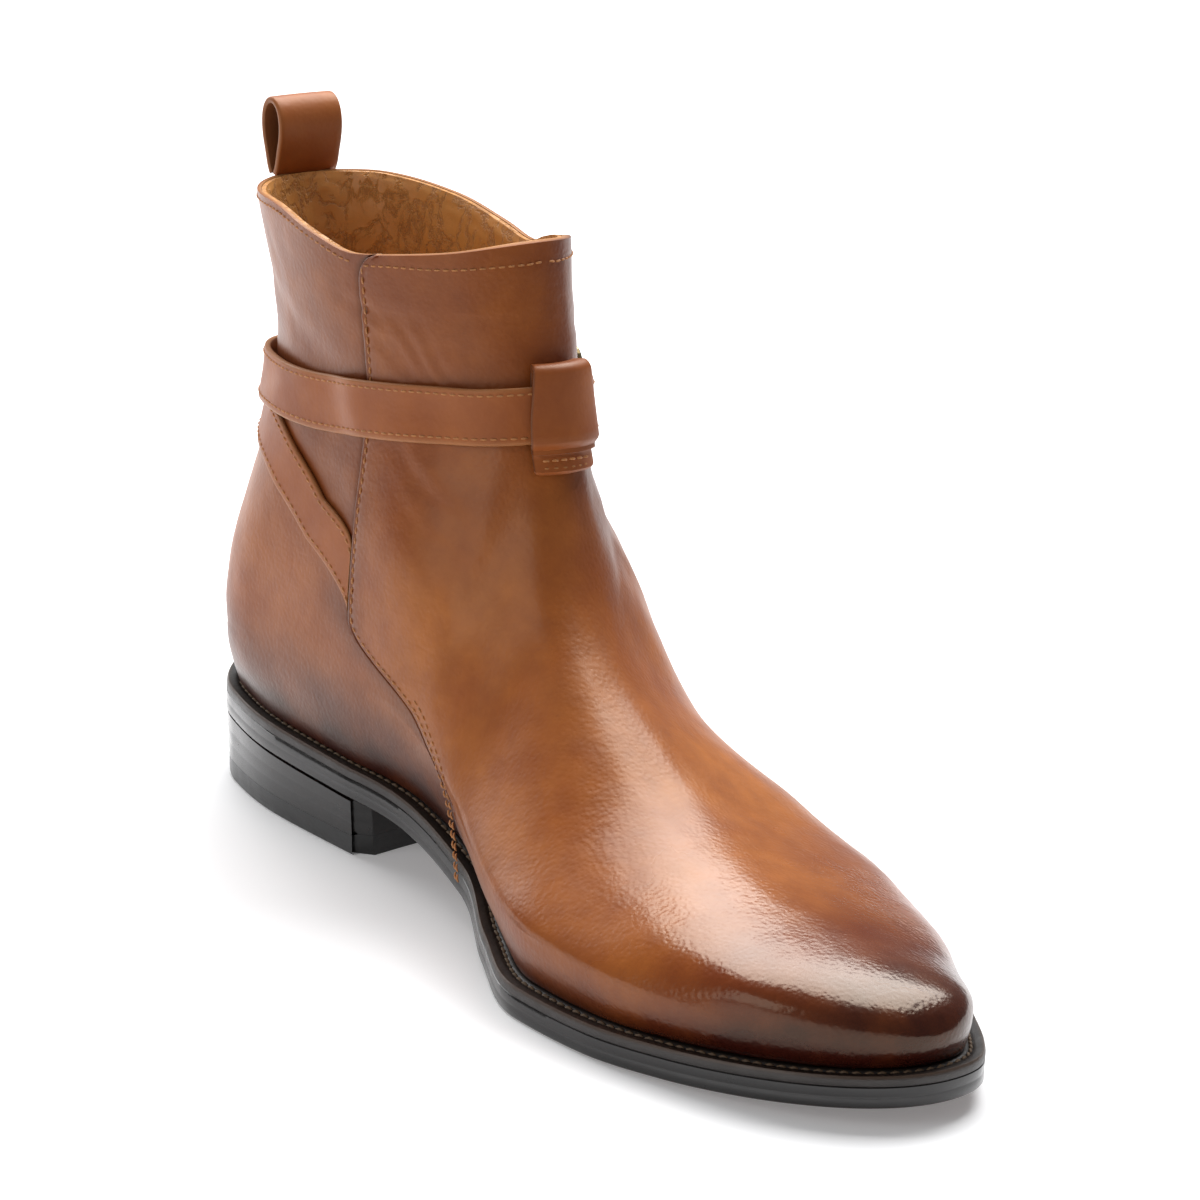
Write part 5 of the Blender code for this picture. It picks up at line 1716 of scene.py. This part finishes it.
def dark_edge_material(name, body, worn, roughness, grain):
    made = Nodes(name)
    base = made.mixed(made.speckle(120.0, 4.0), body, tuple(0.6 * c for c in body))
    base = made.mixed(made.maths("MULTIPLY", made.painted("edge"), 0.7), base, worn)
    made.feed("Base Color", base)
    made.feed("Roughness", made.speckle(200.0, 4.0, to_low=roughness - 0.06, to_high=roughness + 0.08))
    made.put("Coat Weight", 0.15)
    made.put("Coat Roughness", 0.25)
    made.bumps((made.noise(600.0, 4.0, stretch=(1.0, 1.0, 3.0)), grain, 0.0003))
    return made.material


def plain_material(name, colour, roughness, metallic=0.0, grain=0.2, scale=900.0):
    made = Nodes(name)
    base = made.mixed(made.speckle(scale / 6.0, 4.0), colour, tuple(0.7 * c for c in colour))
    made.feed("Base Color", base)
    made.put("Roughness", roughness)
    made.put("Metallic", metallic)
    made.bumps((made.noise(scale, 3.0), grain, 0.0002))
    return made.material


# Studio


def build_floor():
    bpy.ops.mesh.primitive_plane_add(size=24.0)
    floor = bpy.context.object
    floor.name = "floor"
    made = Nodes("pale_floor")
    made.put("Base Color", (0.88, 0.88, 0.89, 1.0))
    made.put("Roughness", 0.55)
    made.put("Specular IOR Level", 0.15)
    made.put("Emission Color", (1.0, 1.0, 1.0, 1.0))
    made.put("Emission Strength", 0.18)
    floor.data.materials.append(made.material)


Lamp = namedtuple("Lamp", "name place target width depth power")
LAMPS = (
    Lamp("overhead", (-0.35, 0.45, 1.15), (0.12, 0.0, 0.05), 1.35, 0.95, 35.0),
    Lamp("left", (0.25, -1.5, 0.7), (0.08, 0.0, 0.08), 0.9, 1.1, 6.5),
    Lamp("back", (-1.3, -0.3, 0.7), (0.0, 0.0, 0.08), 0.7, 0.9, 7.0),
)


def area_light(lamp):
    data = bpy.data.lights.new(lamp.name, "AREA")
    data.shape = "RECTANGLE"
    data.size = lamp.width
    data.size_y = lamp.depth
    data.energy = lamp.power
    made = bpy.data.objects.new(lamp.name, data)
    bpy.context.scene.collection.objects.link(made)
    made.location = lamp.place
    made.rotation_euler = (Vector(lamp.target) - Vector(lamp.place)).to_track_quat("-Z", "Y").to_euler()


def build_light():
    world = bpy.data.worlds.new("studio")
    bpy.context.scene.world = world
    world.use_nodes = True
    back = world.node_tree.nodes["Background"]
    back.inputs["Color"].default_value = (1.0, 1.0, 1.0, 1.0)
    back.inputs["Strength"].default_value = 0.20
    for lamp in LAMPS:
        area_light(lamp)


def build_camera():
    data = bpy.data.cameras.new("camera")
    data.sensor_width = 36.0
    data.lens = CAMERA_LENS
    camera = bpy.data.objects.new("camera", data)
    bpy.context.scene.collection.objects.link(camera)
    camera.location = CAMERA_PLACE
    aim = (Vector(CAMERA_TARGET) - Vector(CAMERA_PLACE)).to_track_quat("-Z", "Y").to_matrix()
    camera.rotation_euler = (aim @ Matrix.Rotation(math.radians(CAMERA_ROLL), 3, "Z")).to_euler()
    bpy.context.scene.camera = camera


def dress_nodes(brass, insole_leather):
    for name, material in (("buckle_frame", brass), ("buckle_prong", brass), ("insole", insole_leather)):
        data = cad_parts[name].data
        data.materials.clear()
        data.materials.append(material)


def main():
    calf = upper_material()
    strap = strap_material("strap_calf", STRAP_BROWN, STRAP_DEEP)
    loop = strap_material("loop_calf", LOOP_BROWN, LOOP_DEEP, LOOP_RAW, inside=True)
    keeper = strap_material("keeper_calf", STRAP_BROWN, STRAP_DEEP, KEEPER_RAW)
    lining = lining_material()
    thread_brown = plain_material("brown_thread", THREAD, 0.6, scale=2400.0)
    thread_dark = plain_material("dark_thread", DARK_THREAD, 0.65, scale=2400.0)
    welt = dark_edge_material("welt_leather", WELT_BLACK, WELT_WORN, 0.46, 0.5)
    sole = dark_edge_material("sole_edge", SOLE_BLACK, SOLE_WORN, 0.20, 0.12)
    lift = dark_edge_material("lift_rubber", RUBBER, RUBBER_WORN, 0.34, 0.2)
    brass = plain_material("antique_brass", BRASS, 0.32, metallic=1.0, grain=0.1)
    build_upper(calf, lining)
    build_upper_stitches(thread_brown)
    build_straps(strap, thread_brown)
    build_keeper(keeper, thread_brown)
    build_pull_loop(loop)
    build_welt(welt, thread_dark)
    build_outsole(sole)
    build_heel(sole, lift)
    dress_nodes(brass, lining)
    build_floor()
    build_light()
    build_camera()
    bpy.context.scene.view_settings.view_transform = "Standard"


main()
